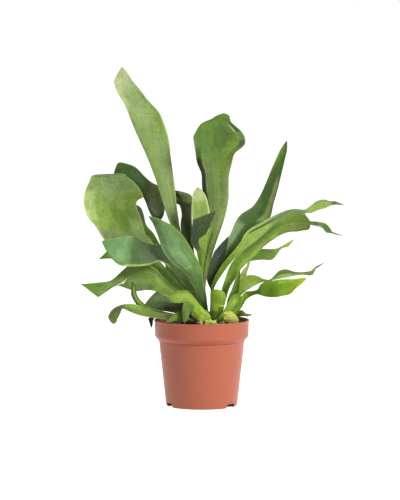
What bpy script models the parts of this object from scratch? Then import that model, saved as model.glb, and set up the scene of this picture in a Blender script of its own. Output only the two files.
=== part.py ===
"""Staghorn fern in a round plastic nursery pot.

Every frond is one thin blade: a smooth sheet between two rails, given thickness.
Lengths in this file are millimetres, and the scene is in metres, +Z up. The origin
is the middle of the pot's underside, and the fern's front looks along -Y.
"""
import math

import bmesh
import bpy
import numpy as np
from mathutils import Vector

MM = 0.001

# Pot
POT_HEIGHT = 110.0
RIM_RADIUS = 60.0
RIM_DEPTH = 21.5           # height of the rim band
RIM_CHAMFER = 5.0          # height of the slope under the rim band
SHOULDER_RADIUS = 54.8     # body radius just under the rim band
FOOT_RADIUS = 45.0
POT_WALL = 1.3
POT_FLOOR = 1.6
LIP_OUT = 0.8              # how far the rounded lip stands out from the rim band
LIP_HEIGHT = 2.8
RIM_TAPER = 0.8            # how much narrower the rim band is at its foot
EDGE = 0.5                 # size of the small bevels along the edges
FOOT_BEVEL = 1.2
DRAIN_ANGLES = (54.6, 174.5, 294.4)   # degrees, from -Y towards +X
DRAIN_WIDTH = 17.0
DRAIN_HEIGHT = 5.0
DRAIN_REACH = 9.0          # how far each drain slot runs in under the floor
POT_STEPS = 40

# Soil and crown
GAP = 0.4                  # clearance between pieces that touch
SOIL_TOP = 102.5           # at the wall
SOIL_RISE = 1.4            # how much higher the soil is in the middle
SOIL_SHOULDER = 0.7        # where the soil levels off, as a share of the rim's radius
SOIL_LEVEL = 0.9           # how much of its rise the soil has there
SOIL_PLAY = 0.6            # how much more the soil clears the slanting walls
SOIL_STEPS = 32
CROWN_CENTRE = (9.0, 2.0, 107.5)
CROWN_RADII = (33.0, 20.0, 12.5)
CROWN_UNDERSIDE = 3.0      # how far the crown reaches below its centre
CROWN_SEGMENTS = 20
CROWN_RINGS = 10

# Fronds
BLADE_THICKNESS = 1.0
BLADE_ROWS = 14            # rows of a frond's body
TIP_ROWS = 3               # rows of its rounded end
LOBE_ROWS = 6
BLADE_COLUMNS = 4
SHARPEST_END = 0.06        # width left at the very tip, as a share of the last row

# Materials: base colour as linear RGB, and roughness
POT_SURFACE = ((0.53, 0.16, 0.09), 0.4)
SOIL_SURFACE = ((0.02, 0.013, 0.01), 0.95)
CROWN_SURFACE = ((0.12, 0.09, 0.04), 0.9)
FROND_ROUGHNESS = 0.55
GREY_GREEN = (0.22, 0.33, 0.10)
BLUE_GREEN = (0.13, 0.27, 0.13)
DEEP_GREEN = (0.06, 0.13, 0.05)
MID_GREEN = (0.14, 0.26, 0.05)
BRIGHT_GREEN = (0.25, 0.40, 0.05)
PAPERY = (0.45, 0.36, 0.12)
WITHERED = (0.02, 0.01, 0.007)
OTHER_COLOURS = {
    "tall_frond": GREY_GREEN, "round_frond": GREY_GREEN, "folded_frond": GREY_GREEN,
    "reaching_frond": BLUE_GREEN, "front_frond": BLUE_GREEN,
    "back_fork_frond": DEEP_GREEN, "narrow_frond": DEEP_GREEN, "spear_frond": DEEP_GREEN,
    "shaded_frond": DEEP_GREEN, "grey_frond": DEEP_GREEN, "rear_left_frond": DEEP_GREEN,
    "back_frond": DEEP_GREEN, "low_back_frond": DEEP_GREEN, "rear_right_frond": DEEP_GREEN,
    "fork_frond": BRIGHT_GREEN, "short_right_frond": BRIGHT_GREEN,
    "wavy_frond": BRIGHT_GREEN, "bright_frond": BRIGHT_GREEN, "arch_frond": BRIGHT_GREEN,
    "crown_frond": BRIGHT_GREEN, "young_shield_frond": BRIGHT_GREEN,
    "pale_young_frond": BRIGHT_GREEN,
    "papery_shield_frond": PAPERY, "withered_leaf": WITHERED,
}   # the others are MID_GREEN

# Rails are drawn in front elevation, as seen from a point this far in front of the
# pot's axis and this high; a depth then moves each point along its line of sight.
EYE_DISTANCE = 3000.0
EYE_HEIGHT = 430.0

# A station is (left x, left z, right x, right z, depth y, twist), from the crown out.
# Twist is how much further back the right rail lies. A tip is (x, z, y), and blunt
# shapes the end: 1 is a straight point, 2 a half ellipse, more is squarer. Cup is how
# far the middle lies behind the rails, as a share of the half width. The lobes of a
# fork go on from the left half and the right half of the last station.
FRONDS = {
    "tall_frond": dict(
        stations=[(1, 122, 5, 122, 14, 0), (-11, 155, -7, 157, 20, 0),
                  (-24, 190, -17, 193, 30, 2), (-36, 222, -27, 224, 40, 6),
                  (-45, 245, -31, 248, 46, 9), (-58, 287, -35.5, 290, 57, 14),
                  (-69, 316, -39, 316, 64, 17), (-80, 341, -42.5, 342, 71, 18),
                  (-88, 360, -48, 360, 77, 18), (-93.5, 375, -55, 375, 81, 17),
                  (-101, 390, -69.5, 390, 85, 14), (-108, 401, -80, 404.5, 88, 11),
                  (-111.3, 412, -87.5, 413, 90, 8)],
        tip=(-101, 431, 93), blunt=1.15, cup=0.25),
    "round_frond": dict(
        stations=[(-5, 122, -2, 124, 4, 0), (-36, 150, -30, 156, 8, 0),
                  (-70, 172, -53, 184, 14, -4), (-106, 196, -62, 205, 20, -10),
                  (-125, 213, -70.5, 217, 23, -14), (-135, 229, -75, 231, 26, -18),
                  (-144.5, 240, -78.5, 243, 29, -22), (-148.5, 252, -83, 254.5, 31, -24),
                  (-149.7, 260, -82, 262, 32, -24), (-149.6, 265, -74, 265.5, 32, -24),
                  (-147, 276, -77, 275, 33, -24), (-143.5, 284, -85, 285.5, 34, -22),
                  (-140.5, 291, -96, 292.5, 35, -18)],
        tip=(-118, 295.5, 36), blunt=4.0, cup=0.2),
    "narrow_frond": dict(
        stations=[(-9, 123, -7, 125, 11, 0), (-34, 178, -30, 181, 17, 0),
                  (-66, 203, -53, 206, 27, 0), (-78, 218, -61.5, 220.5, 35, 0),
                  (-83, 232, -70.5, 231, 42, 0), (-84, 243, -73.5, 243, 46, 0),
                  (-84.5, 251, -75.5, 250, 48, 0)],
        tip=(-82, 256, 49), blunt=1.5, cup=0.1),
    "reaching_frond": dict(
        stations=[(-3, 124, 0, 127, -7, 0), (-16, 144, -9, 149, -11, 0),
                  (-27, 160, -18, 168, -16, 0), (-42, 177, -30, 190, -22, 0),
                  (-54, 183.5, -48, 205, -32, 6), (-68, 179, -68, 206.5, -44, 10),
                  (-92, 177.5, -89, 217, -62, 14),
                  (-108, 181, -108, 214.5, -76, 14),
                  (-118, 192, -117, 212.5, -85, 9)],
        tip=(-127, 209.5, -93), blunt=1.2, cup=0.2),
    "front_frond": dict(
        stations=[(2, 124, 7, 126, -12, 0), (-4, 139, 6, 141, -15, 0),
                  (-11, 152, 3, 154, -20, 0), (-21, 168.5, -1, 176, -27, -2),
                  (-38, 182, -13, 200, -38, -8), (-50, 199, -27, 221, -50, -12),
                  (-57, 220, -40, 231.5, -60, -10), (-63, 234, -55, 238.8, -67, -5)],
        tip=(-67.8, 242, -70), blunt=1.1, cup=-0.15),
    "back_fork_frond": dict(
        stations=[(-2, 124, 2, 124, 22, 0), (-8, 160, -1, 160, 32, 0),
                  (-17, 190, -8, 190, 46, 0), (-25, 215, -12, 213, 60, 2),
                  (-27, 232, -12.5, 230, 68, 3), (-25.5, 245, -13, 243, 74, 4),
                  (-28, 256, -13, 255, 78, 5)],
        cup=0.15,
        lobes=[dict(stations=[(-38, 259, -33, 276, 84, 6), (-46, 257, -43, 279.5, 88, 10),
                              (-48.5, 241, -50, 281, 92, 14), (-57, 234, -57, 282, 96, 16),
                              (-66, 246, -65, 286, 100, 14), (-72, 262, -72, 292, 104, 12),
                              (-88, 283, -85, 305, 112, 8),
                              (-107, 291, -101, 310.3, 120, 5)],
                    tip=(-110, 301, 124), blunt=3.5),
               dict(stations=[(-34, 266, -12.5, 262, 84, 4), (-38, 273, -12.5, 266.5, 88, 4)],
                    tip=(-25.5, 273, 90), blunt=3.0)]),
    "folded_frond": dict(
        stations=[(-2, 124, 2, 124, 1, 0), (-3, 150, 1, 150, 1, 0),
                  (-3, 176, 2, 176, 1, 0), (-7, 198, 6, 198, 1, 0)],
        cup=0.1,
        lobes=[dict(stations=[(-13.5, 208, -4, 211.5, -5, -2), (-13, 219, 5.5, 220, -10, -4),
                              (-12, 230, 11.5, 231, -13, -6),
                              (-11.5, 237, 15, 240, -16, -6)],
                    tip=(17.5, 248.5, -18), blunt=1.05),
               dict(stations=[(-8, 212, 7, 212, 6, 4), (-12, 240, 10.5, 244, 14, 8),
                              (-12.5, 262, 7, 263, 18, 6)],
                    tip=(-5, 278.5, 22), blunt=1.5)]),
    "paddle_frond": dict(
        stations=[(4, 124, 8, 124, 7, 0), (0, 152, 5, 152, 10, 0), (-2, 177, 9, 175, 14, 0),
                  (1, 201, 15.5, 199, 18, 0), (8, 226, 24, 224, 23, 2),
                  (7, 242, 30, 243, 28, 6), (4, 256, 32.7, 255, 31, 8),
                  (1.5, 268, 34.3, 268, 33, 10), (0, 281, 34, 281, 34, 12),
                  (-0.7, 297, 34.7, 295, 36, 14), (-6, 309, 38, 308, 37, 14),
                  (-8, 323, 42, 322, 38, 14), (-9.3, 332, 50, 328, 38, 13),
                  (-11, 343, 56, 335, 38, 12), (-8.5, 347.5, 54.5, 344, 38, 12),
                  (-4.5, 355, 48, 352, 38, 10), (1, 360.6, 38, 360.5, 39, 8),
                  (13, 365.4, 35.5, 366, 39.5, 6)],
        tip=(28, 372.3, 40), blunt=1.6, cup=0.15),
    "spear_frond": dict(
        stations=[(10.5, 124, 13.5, 125, 17, 0), (12.5, 156, 16.5, 156, 24, 0),
                  (18.5, 177, 25, 175, 31, 0), (27, 203, 39, 195, 39, -2),
                  (36, 218.5, 51, 209, 48, -6), (43.5, 236, 66, 224, 59, -12),
                  (51, 245, 79, 233, 68, -14), (64, 253.5, 87.5, 241, 78, -14),
                  (73, 266, 91, 256, 87, -12), (81, 283, 97.5, 280, 95, -8),
                  (90, 305, 104, 307, 104, -5), (99, 325, 108, 324, 111, -3)],
        tip=(108, 338, 116), blunt=1.2, cup=0.25),
    "shaded_frond": dict(
        stations=[(11, 126, 13, 127, 11, 0), (11.5, 147, 14.5, 149, 15, 0),
                  (6.5, 160, 16, 158, 19, 0), (8.5, 177, 22, 174, 24, 0),
                  (15.5, 196, 29, 190, 29, 0)],
        tip=(34, 216, 36), blunt=1.2, cup=0.2),
    "fork_frond": dict(
        stations=[(11, 122, 14, 121, 2, 0), (12, 152, 16, 150, 4, 0),
                  (20, 171, 27, 169, 7, 0), (34, 190, 41, 187, 10, 0),
                  (48, 207, 55, 199, 14, 2), (57, 222, 69, 209, 18, 4),
                  (76, 234, 88, 215, 24, 6), (97, 245, 105, 229, 32, 6),
                  (117, 251.2, 121, 240, 42, 4), (131, 250, 131.5, 241.5, 50, 2)],
        cup=0.15,
        lobes=[dict(stations=[(137, 254, 139.5, 246, 54, 0), (146, 260.8, 147.5, 249.5, 58, 0),
                              (156, 263, 157.5, 252, 63, 0), (163, 261, 164, 255.3, 67, 0),
                              (169, 261.3, 171, 256.5, 69, 0)],
                    tip=(181, 256, 72), blunt=1.1),
               dict(stations=[(137, 236.3, 138, 231.5, 51, 0), (147, 235, 148.5, 229, 50, 0),
                              (157, 232.7, 154.5, 225.5, 50, 0),
                              (161.5, 229, 157.5, 221.5, 49, 0),
                              (166, 222, 165, 220, 48, 0)],
                    tip=(181.5, 216, 47), blunt=1.1)]),
    "spoon_frond": dict(
        stations=[(22, 122, 27, 120, -8, 0), (25, 147, 31, 143, -11, 0),
                  (30, 163, 40, 158, -15, 0), (37, 181, 50, 174, -20, 0),
                  (52, 198, 64, 188, -26, 4), (69, 211, 79, 203, -34, 6),
                  (86, 226, 91, 212, -43, 9), (102, 239, 104, 219.5, -51, 10),
                  (112, 245.5, 113, 222, -56, 9), (121, 247, 122, 222.3, -60, 8),
                  (129, 243.5, 131, 224, -65, 6)],
        tip=(138, 232.5, -70), blunt=2.2, cup=0.2),
    "short_right_frond": dict(
        stations=[(24, 126, 28, 124, 0, 0), (34, 160, 38, 156, -2, 0),
                  (47, 185, 52, 178, -2, 0), (63, 198, 63, 184.5, 0, 2),
                  (78, 200.3, 78, 186.3, 3, 4), (90, 200.3, 90, 186.5, 7, 4),
                  (96, 201, 96.5, 194, 10, 3), (101, 203.5, 101, 200, 12, 1),
                  (109, 208, 110, 202.8, 15, 1)],
        tip=(117.5, 212.5, 18), blunt=1.1, cup=0.2),
    "wavy_frond": dict(
        stations=[(34, 124, 37, 121, -2, 0), (42, 147, 48, 138, -2, 0),
                  (51, 164, 56, 146, -1, 2), (62, 167, 64, 151, 3, 3),
                  (70, 166, 71, 155, 7, 4), (79, 162, 78, 157.7, 12, 1),
                  (86, 161, 87, 159, 16, 0), (91, 164.5, 93, 160.5, 21, -3),
                  (97, 171.5, 99, 161.8, 26, -4), (106, 174.3, 108, 163.5, 32, -4),
                  (118, 171.2, 119, 165.8, 42, -1), (131, 171, 132, 166.5, 52, 0),
                  (139, 172.5, 141.5, 166.8, 57, 0), (145, 177.8, 145, 174.5, 61, 0)],
        tip=(157, 183, 68), blunt=1.1, cup=0.2),
    "bright_frond": dict(
        stations=[(40, 118, 44, 115, -16, 0), (47, 134, 52, 127, -19, 0),
                  (56, 145.5, 57.5, 136, -22, 0), (63, 146.3, 64, 140, -28, 0),
                  (71, 148.5, 71, 142, -35, 0), (75, 155, 78, 140, -42, 5),
                  (81, 158.5, 85, 138.6, -48, 8), (92, 159.8, 94, 138.4, -56, 10),
                  (103, 161.5, 104, 140.3, -63, 10), (112, 161.5, 113, 142.5, -70, 8),
                  (120, 161.7, 119.5, 149.5, -76, 5)],
        tip=(133.5, 162.5, -84), blunt=1.3, cup=0.2),
    "upright_young_frond": dict(
        stations=[(30, 120, 34, 118, -19, 0), (33, 136, 43, 132, -23, 4),
                  (39, 151, 47.5, 148, -26, 4), (43, 164, 49, 164, -27, 3)],
        tip=(48, 174, -28), blunt=1.5, cup=0.3),
    "pale_young_frond": dict(
        stations=[(38, 126, 41, 124, 4, 0), (46, 159, 54, 157.5, 4, 0),
                  (51, 172, 58, 170.5, 4, 0), (57, 179.5, 61, 178.5, 4, 0)],
        tip=(60.5, 186, 3), blunt=1.6, cup=0.3),
    "arch_frond": dict(
        stations=[(7, 107.5, 9, 119, -23, 4), (-4, 108.5, -1, 127, -29, 6),
                  (-13, 116, -9, 138, -34, 8)],
        cup=-0.3,
        lobes=[dict(stations=[(-13.5, 121, -22, 131.5, -44, 0),
                              (-15, 117, -25, 124, -50, 0),
                              (-18, 111, -24, 113, -54, 0)],
                    tip=(-22, 105.5, -56), blunt=1.5),
               dict(stations=[(-21, 131, -19, 147.5, -38, 8), (-32, 131, -31, 147, -41, 6)],
                    tip=(-42, 138, -43), blunt=1.6)]),
    "wide_left_frond": dict(
        stations=[(-7, 122, -4, 126, -14, 0), (-24, 133, -18, 140, -17, 0),
                  (-42, 138, -34, 150, -22, 2), (-57, 145, -46, 161, -28, 4),
                  (-69, 147.5, -62, 177, -36, 6), (-84, 146, -80, 181, -42, 8),
                  (-92, 148, -95, 178, -46, 8)],
        cup=0.2,
        lobes=[dict(stations=[(-99, 150.5, -100, 156, -50, 0)],
                    tip=(-107, 153.5, -53), blunt=1.0),
               dict(stations=[(-101, 156, -103, 170.5, -51, 5),
                              (-112, 151.5, -114, 161, -57, 4),
                              (-123, 144, -121, 158.5, -64, 4),
                              (-132, 138, -126, 158, -72, 8)],
                    tip=(-154, 155, -84), blunt=1.0)]),
    "tip_frond": dict(
        stations=[(-8, 122, -6, 126, -3, 0), (-38, 157, -35, 163, -5, 0),
                  (-76, 179, -74, 190, -12, 0), (-105, 186, -104, 197, -22, 0),
                  (-118, 188, -118, 200, -27, 0)],
        tip=(-131, 187, -32), blunt=1.0, cup=0.2),
    "hook_frond": dict(
        stations=[(-30, 112, -28, 116, -26, 0), (-57, 117, -55, 122, -33, 0),
                  (-72, 121, -68, 127, -42, 0), (-84, 130, -79, 136, -50, 0),
                  (-90, 141, -83, 144, -55, 0), (-90, 150, -84, 152, -57, 0)],
        tip=(-89, 159, -59), blunt=1.3, cup=0.2),
    "low_left_frond": dict(
        stations=[(-22, 111, -22, 116, -34, 0), (-44, 110, -43, 117, -40, 0),
                  (-62, 112, -62, 120, -45, 0), (-80, 115.3, -80, 128.3, -53, 4),
                  (-92, 119.7, -92, 130, -60, 4), (-101, 123.5, -103, 128.8, -66, 0),
                  (-103.5, 118, -114, 123, -70, 0), (-108, 109.5, -119.6, 114, -73, 0)],
        tip=(-113.5, 104.5, -75), blunt=1.8, cup=0.2),
    "rim_leaf": dict(
        stations=[(-18, 108, -18, 114, -40, 0), (-28, 108, -28, 120, -43, 4),
                  (-37, 107.5, -36, 117, -46, 4)],
        tip=(-46, 107, -48), blunt=1.3, cup=-0.2),
    "grey_frond": dict(
        stations=[(-20, 116, -19, 127, -9, 0), (-34, 118, -33, 138, -7, 6),
                  (-48, 120.5, -47, 145, -4, 8), (-60, 121, -58, 145.5, -1, 8)],
        tip=(-73, 128, 2), blunt=1.3, cup=0.25),
    "young_shield_frond": dict(
        stations=[(13, 108, 18.5, 107, -24, 0), (11.8, 122, 26.5, 119, -25, 0),
                  (11.5, 139, 31, 137, -25, 0)],
        tip=(20, 148, -24), blunt=3.2, cup=-0.3),
    "crown_frond": dict(
        stations=[(20, 110, 27, 108, -29, 0), (28, 122, 40, 117, -29, 0),
                  (36, 136, 50, 130, -28, 3)],
        tip=(47, 143, -27), blunt=2.0, cup=0.2),
    "papery_shield_frond": dict(
        stations=[(30, 105, 46, 104.5, -36, 6), (28, 112.5, 47.5, 108.5, -38, 8)],
        tip=(35, 121, -37), blunt=2.0, cup=-0.2),
    "right_rim_leaf": dict(
        stations=[(44, 119, 45, 113, -10, 0), (51, 122, 52, 114, -11, 0),
                  (57, 117.5, 58, 113.5, -11, 0)],
        tip=(64.5, 116, -11), blunt=1.5, cup=-0.2),
    "withered_leaf": dict(
        stations=[(-50, 111.5, -50, 114, -8, 0), (-60, 111.5, -61, 114.5, -8, 0),
                  (-62, 108, -68, 111.5, -8, 0), (-62.3, 104, -66.5, 105, -8, 0)],
        tip=(-64.3, 99, -8), blunt=1.2, cup=0.2),
    "rear_left_frond": dict(
        stations=[(-12, 123, -9, 125, 16, 0), (-36, 152, -31, 158, 34, 0),
                  (-70, 180, -58, 190, 58, 4), (-100, 207, -80, 216, 80, 8),
                  (-122, 232, -96, 240, 98, 10), (-126, 250, -104, 254, 106, 8)],
        tip=(-116, 268, 112), blunt=1.8, cup=0.2),
    "back_frond": dict(
        stations=[(-6, 122, -3, 122, 28, 0), (-18, 140, -11, 142, 44, 0),
                  (-42, 163, -17, 168, 74, 4), (-48, 190, -23, 197, 98, 6)],
        tip=(-38, 220, 118), blunt=1.6, cup=0.2),
    "low_back_frond": dict(
        stations=[(-16, 121, -14, 125, 20, 0), (-28, 127, -24, 138, 46, 0),
                  (-42, 134, -35, 152, 72, 4)],
        tip=(-54, 148, 94), blunt=1.8, cup=0.2),
    "rear_right_frond": dict(
        stations=[(14, 122, 17, 121, 22, 0), (12.5, 152, 15.5, 150, 30, 0),
                  (22, 171, 26, 169, 40, 0), (35, 189, 40, 186, 52, 0),
                  (50, 206, 56, 200, 66, 2), (66, 224, 79, 211, 82, 6),
                  (90, 236, 98, 220, 98, 8)],
        tip=(118, 241, 112), blunt=1.4, cup=0.2),
}


def place(x, z, depth):
    """A point of the front elevation, moved along its line of sight to a depth."""
    scale = 1 + depth / EYE_DISTANCE
    return [x * scale, depth, EYE_HEIGHT + (z - EYE_HEIGHT) * scale]


def station_row(station):
    """The left and right rail points of a station, as one row of six numbers."""
    left_x, left_z, right_x, right_z, depth, twist = station
    return place(left_x, left_z, depth - twist / 2) + place(right_x, right_z, depth + twist / 2)


def smooth_rows(points, rows):
    """Rows spread evenly along a cubic curve through the given rows."""
    points = np.array(points, dtype=float)
    gaps = np.linalg.norm(np.diff(points, axis=0), axis=1)
    knots = np.concatenate([[0.0], np.cumsum(gaps)])
    slopes = np.diff(points, axis=0) / gaps[:, None]
    tangents = np.concatenate([slopes[:1], slopes[-1:]])
    if len(points) > 2:
        share = (gaps[1:] / (gaps[:-1] + gaps[1:]))[:, None]
        inner = slopes[:-1] * share + slopes[1:] * (1 - share)
        tangents = np.concatenate([slopes[:1], inner, slopes[-1:]])
    at = np.linspace(0, knots[-1], rows + 1)
    piece = np.clip(np.searchsorted(knots, at, side="right") - 1, 0, len(gaps) - 1)
    width = gaps[piece][:, None]
    s = (at - knots[piece])[:, None] / width
    return ((2 * s**3 - 3 * s**2 + 1) * points[piece] + (s**3 - 2 * s**2 + s) * width * tangents[piece]
            + (3 * s**2 - 2 * s**3) * points[piece + 1] + (s**3 - s**2) * width * tangents[piece + 1])


def end_rows(last, tip, blunt, rows):
    """Rows of a frond's end, from its last full row to the tip, as half a superellipse."""
    left, right = last[:3], last[3:]
    centre, half = (left + right) / 2, (right - left) / 2
    made = []
    for i in range(1, rows + 1):
        angle = math.pi / 2 * i / rows
        along = math.sin(angle) ** (2 / blunt)
        across = max(math.cos(angle), 0.0) ** (2 / blunt)
        middle = centre + (np.array(place(*tip)) - centre) * along
        side = half * max(across, SHARPEST_END)
        made.append(np.concatenate([middle - side, middle + side]))
    return np.array(made)


def blade_grid(rows, columns, cup):
    """Points across every row: a straight line between the rails, bent by the cup."""
    left, right = rows[:, :3], rows[:, 3:]
    centre, half = (left + right) / 2, (right - left) / 2
    normal = np.cross(np.gradient(centre, axis=0), half)
    normal /= np.linalg.norm(normal, axis=1)[:, None]
    across = np.linspace(-1, 1, columns + 1)[None, :, None]
    bend = normal * np.linalg.norm(half, axis=1)[:, None] * cup
    return centre[:, None] + half[:, None] * across + bend[:, None] * (1 - across**2)


def outline_rows(part, rows, tip_rows, first=None):
    """All rows of a blade or lobe; first is the row that a lobe grows from."""
    points = [station_row(station) for station in part["stations"]]
    if first is not None:
        points.insert(0, first)
    body = smooth_rows(points, rows)
    if "tip" not in part:
        return body
    return np.concatenate([body, end_rows(body[-1], part["tip"], part["blunt"], tip_rows)])


def frond_grids(frond, rows, lobe_rows, tip_rows, columns):
    """The grid of the blade, and the grids of its lobes, whose first row lies in it."""
    blade = blade_grid(outline_rows(frond, rows, tip_rows), columns, frond["cup"])
    grids = [blade]
    middle = columns // 2
    for lobe, row in zip(frond.get("lobes", []), (blade[-1, :middle + 1], blade[-1, middle:])):
        first = np.concatenate([row[0], row[-1]])
        grid = blade_grid(outline_rows(lobe, lobe_rows, tip_rows, first), middle, frond["cup"])
        fade = np.linspace(1, 0, len(grid))[:, None, None] ** 3
        grids.append(grid + (row - grid[0]) * fade)
    return grids


# ---- Blender objects ----

def clear_scene():
    for item in list(bpy.data.objects):
        bpy.data.objects.remove(item, do_unlink=True)


def collection(name):
    group = bpy.data.collections.new(name)
    bpy.context.scene.collection.children.link(group)
    return group


def material(name, colour, roughness):
    made = bpy.data.materials.new(name)
    made.use_nodes = True
    shader = made.node_tree.nodes["Principled BSDF"]
    shader.inputs["Base Color"].default_value = (*colour, 1.0)
    shader.inputs["Roughness"].default_value = roughness
    return made


def mesh_object(name, bm, group, surface):
    mesh = bpy.data.meshes.new(name)
    bm.to_mesh(mesh)
    bm.free()
    mesh.materials.append(surface)
    item = bpy.data.objects.new(name, mesh)
    group.objects.link(item)
    return item


def turned(name, profile, steps, group, surface):
    """A closed turned shape from (radius, height) points, inside first, outside down."""
    bm = bmesh.new()
    points = [bm.verts.new((radius * MM, 0, height * MM)) for radius, height in profile]
    for start, end in zip(points, points[1:]):
        bm.edges.new((start, end))
    item = mesh_object(name, bm, group, surface)
    screw = item.modifiers.new("turn", "SCREW")
    screw.steps = screw.render_steps = steps
    screw.use_merge_vertices = True
    screw.merge_threshold = 0.00005
    screw.use_smooth_shade = True
    return item


def drain_cutter(index, angle, group, surface):
    """A box that opens a slot through the pot's bottom corner."""
    bm = bmesh.new()
    bmesh.ops.create_cube(bm, size=1.0)
    bmesh.ops.scale(bm, vec=Vector((DRAIN_WIDTH, 2 * DRAIN_REACH, 2 * DRAIN_HEIGHT)) * MM,
                    verts=bm.verts)
    item = mesh_object("drain_cutter_%d" % index, bm, group, surface)
    turn = math.radians(angle)
    item.location = (FOOT_RADIUS * math.sin(turn) * MM, -FOOT_RADIUS * math.cos(turn) * MM, 0)
    item.rotation_euler = (0, 0, turn)
    item.hide_render = True
    item.display_type = "WIRE"
    return item


def build_pot(group, cutters, surface):
    wall_top = POT_HEIGHT - RIM_DEPTH
    chamfer_foot = wall_top - RIM_CHAMFER
    foot_slope = (SHOULDER_RADIUS - FOOT_RADIUS) / chamfer_foot
    profile = [
        (0, POT_FLOOR),
        (FOOT_RADIUS + foot_slope * POT_FLOOR - POT_WALL, POT_FLOOR),
        (SHOULDER_RADIUS - POT_WALL, chamfer_foot),
        (RIM_RADIUS - POT_WALL - RIM_TAPER, wall_top),
        (RIM_RADIUS - POT_WALL, POT_HEIGHT - EDGE),
        (RIM_RADIUS - POT_WALL + EDGE, POT_HEIGHT),
        (RIM_RADIUS + LIP_OUT - EDGE, POT_HEIGHT),
        (RIM_RADIUS + LIP_OUT, POT_HEIGHT - 2 * EDGE),
        (RIM_RADIUS + LIP_OUT, POT_HEIGHT - LIP_HEIGHT + 2 * EDGE),
        (RIM_RADIUS, POT_HEIGHT - LIP_HEIGHT),
        (RIM_RADIUS - RIM_TAPER, wall_top + EDGE),
        (RIM_RADIUS - RIM_TAPER - EDGE, wall_top),
        (SHOULDER_RADIUS, chamfer_foot),
        (FOOT_RADIUS + EDGE, FOOT_BEVEL),
        (FOOT_RADIUS - EDGE, 0),
        (0, 0),
    ]
    pot = turned("pot", profile, POT_STEPS, group, surface)
    for index, angle in enumerate(DRAIN_ANGLES, 1):
        cut = pot.modifiers.new("drain_%d" % index, "BOOLEAN")
        cut.operation = "DIFFERENCE"
        cut.object = drain_cutter(index, angle, cutters, surface)
    return pot


def build_soil(group, surface):
    """The root ball: it fills the pot with a small clearance and crowns at the top."""
    wall_top = POT_HEIGHT - RIM_DEPTH
    chamfer_foot = wall_top - RIM_CHAMFER
    bottom = DRAIN_HEIGHT + GAP
    inner = POT_WALL + GAP
    slope = (SHOULDER_RADIUS - FOOT_RADIUS) / chamfer_foot
    profile = [
        (0, SOIL_TOP + SOIL_RISE),
        (SOIL_SHOULDER * RIM_RADIUS, SOIL_TOP + SOIL_LEVEL * SOIL_RISE),
        (RIM_RADIUS - inner - SOIL_PLAY, SOIL_TOP),
        (RIM_RADIUS - inner - 2 * SOIL_PLAY, wall_top + SOIL_PLAY),
        (SHOULDER_RADIUS - inner - SOIL_PLAY, chamfer_foot),
        (FOOT_RADIUS - inner + slope * bottom - SOIL_PLAY, bottom),
        (0, bottom),
    ]
    return turned("soil", profile, SOIL_STEPS, group, surface)


def build_crown(group, surface):
    """The rhizome: one low rounded lump that all the fronds grow from."""
    bm = bmesh.new()
    bmesh.ops.create_uvsphere(bm, u_segments=CROWN_SEGMENTS, v_segments=CROWN_RINGS,
                              radius=1.0)
    for vert in bm.verts:
        if vert.co.z < 0:
            vert.co.z *= CROWN_UNDERSIDE / CROWN_RADII[2]
    bmesh.ops.scale(bm, vec=Vector(CROWN_RADII) * MM, verts=bm.verts)
    bmesh.ops.translate(bm, vec=Vector(CROWN_CENTRE) * MM, verts=bm.verts)
    return mesh_object("rhizome", bm, group, surface)


def build_frond(name, frond, group, surface):
    """One open sheet, lobes included, made solid."""
    bm = bmesh.new()
    grids = frond_grids(frond, BLADE_ROWS, LOBE_ROWS, TIP_ROWS, BLADE_COLUMNS)
    blade = [[bm.verts.new(point * MM) for point in row] for row in grids[0]]
    middle = BLADE_COLUMNS // 2
    sheets = [blade]
    for grid, first in zip(grids[1:], (blade[-1][:middle + 1], blade[-1][middle:])):
        sheets.append([first] + [[bm.verts.new(point * MM) for point in row] for row in grid[1:]])
    for sheet in sheets:
        for near, far in zip(sheet, sheet[1:]):
            for j in range(len(near) - 1):
                bm.faces.new((near[j], near[j + 1], far[j + 1], far[j]))
    item = mesh_object(name, bm, group, surface)
    solid = item.modifiers.new("thickness", "SOLIDIFY")
    solid.thickness = BLADE_THICKNESS * MM
    solid.offset = 0.0
    item.data.shade_smooth()
    return item


def main():
    clear_scene()
    parts = collection("staghorn_fern")
    cutters = collection("cutters")
    build_pot(parts, cutters, material("pot_plastic", *POT_SURFACE))
    build_soil(parts, material("soil", *SOIL_SURFACE))
    build_crown(parts, material("rhizome", *CROWN_SURFACE))
    for name, frond in FRONDS.items():
        leaf = material(name, OTHER_COLOURS.get(name, MID_GREEN), FROND_ROUGHNESS)
        build_frond(name, frond, parts, leaf)


main()
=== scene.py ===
"""Looks of the staghorn fern in its nursery pot.

The fronds repeat the rails of the CAD model, with a fine surface: rolled margins,
ruffles, puckers and a thickness that thins towards the edge. Lengths are millimetres
where a name or table says so, and metres in the scene.
"""

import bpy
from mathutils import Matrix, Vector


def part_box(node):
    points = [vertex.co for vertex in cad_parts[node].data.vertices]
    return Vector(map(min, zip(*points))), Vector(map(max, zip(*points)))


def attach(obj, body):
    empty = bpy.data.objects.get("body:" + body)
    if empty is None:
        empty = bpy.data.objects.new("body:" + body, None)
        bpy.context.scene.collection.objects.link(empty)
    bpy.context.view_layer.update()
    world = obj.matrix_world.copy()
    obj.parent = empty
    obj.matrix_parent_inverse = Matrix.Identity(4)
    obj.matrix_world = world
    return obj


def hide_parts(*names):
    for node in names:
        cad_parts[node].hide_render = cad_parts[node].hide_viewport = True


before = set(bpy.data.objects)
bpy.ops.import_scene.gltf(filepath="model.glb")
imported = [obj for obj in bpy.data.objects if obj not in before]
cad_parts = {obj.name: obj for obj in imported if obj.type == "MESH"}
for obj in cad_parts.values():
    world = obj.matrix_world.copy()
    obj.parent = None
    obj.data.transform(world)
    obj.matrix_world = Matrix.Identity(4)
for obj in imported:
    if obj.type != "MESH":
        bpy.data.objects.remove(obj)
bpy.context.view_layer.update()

import math
import random

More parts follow.
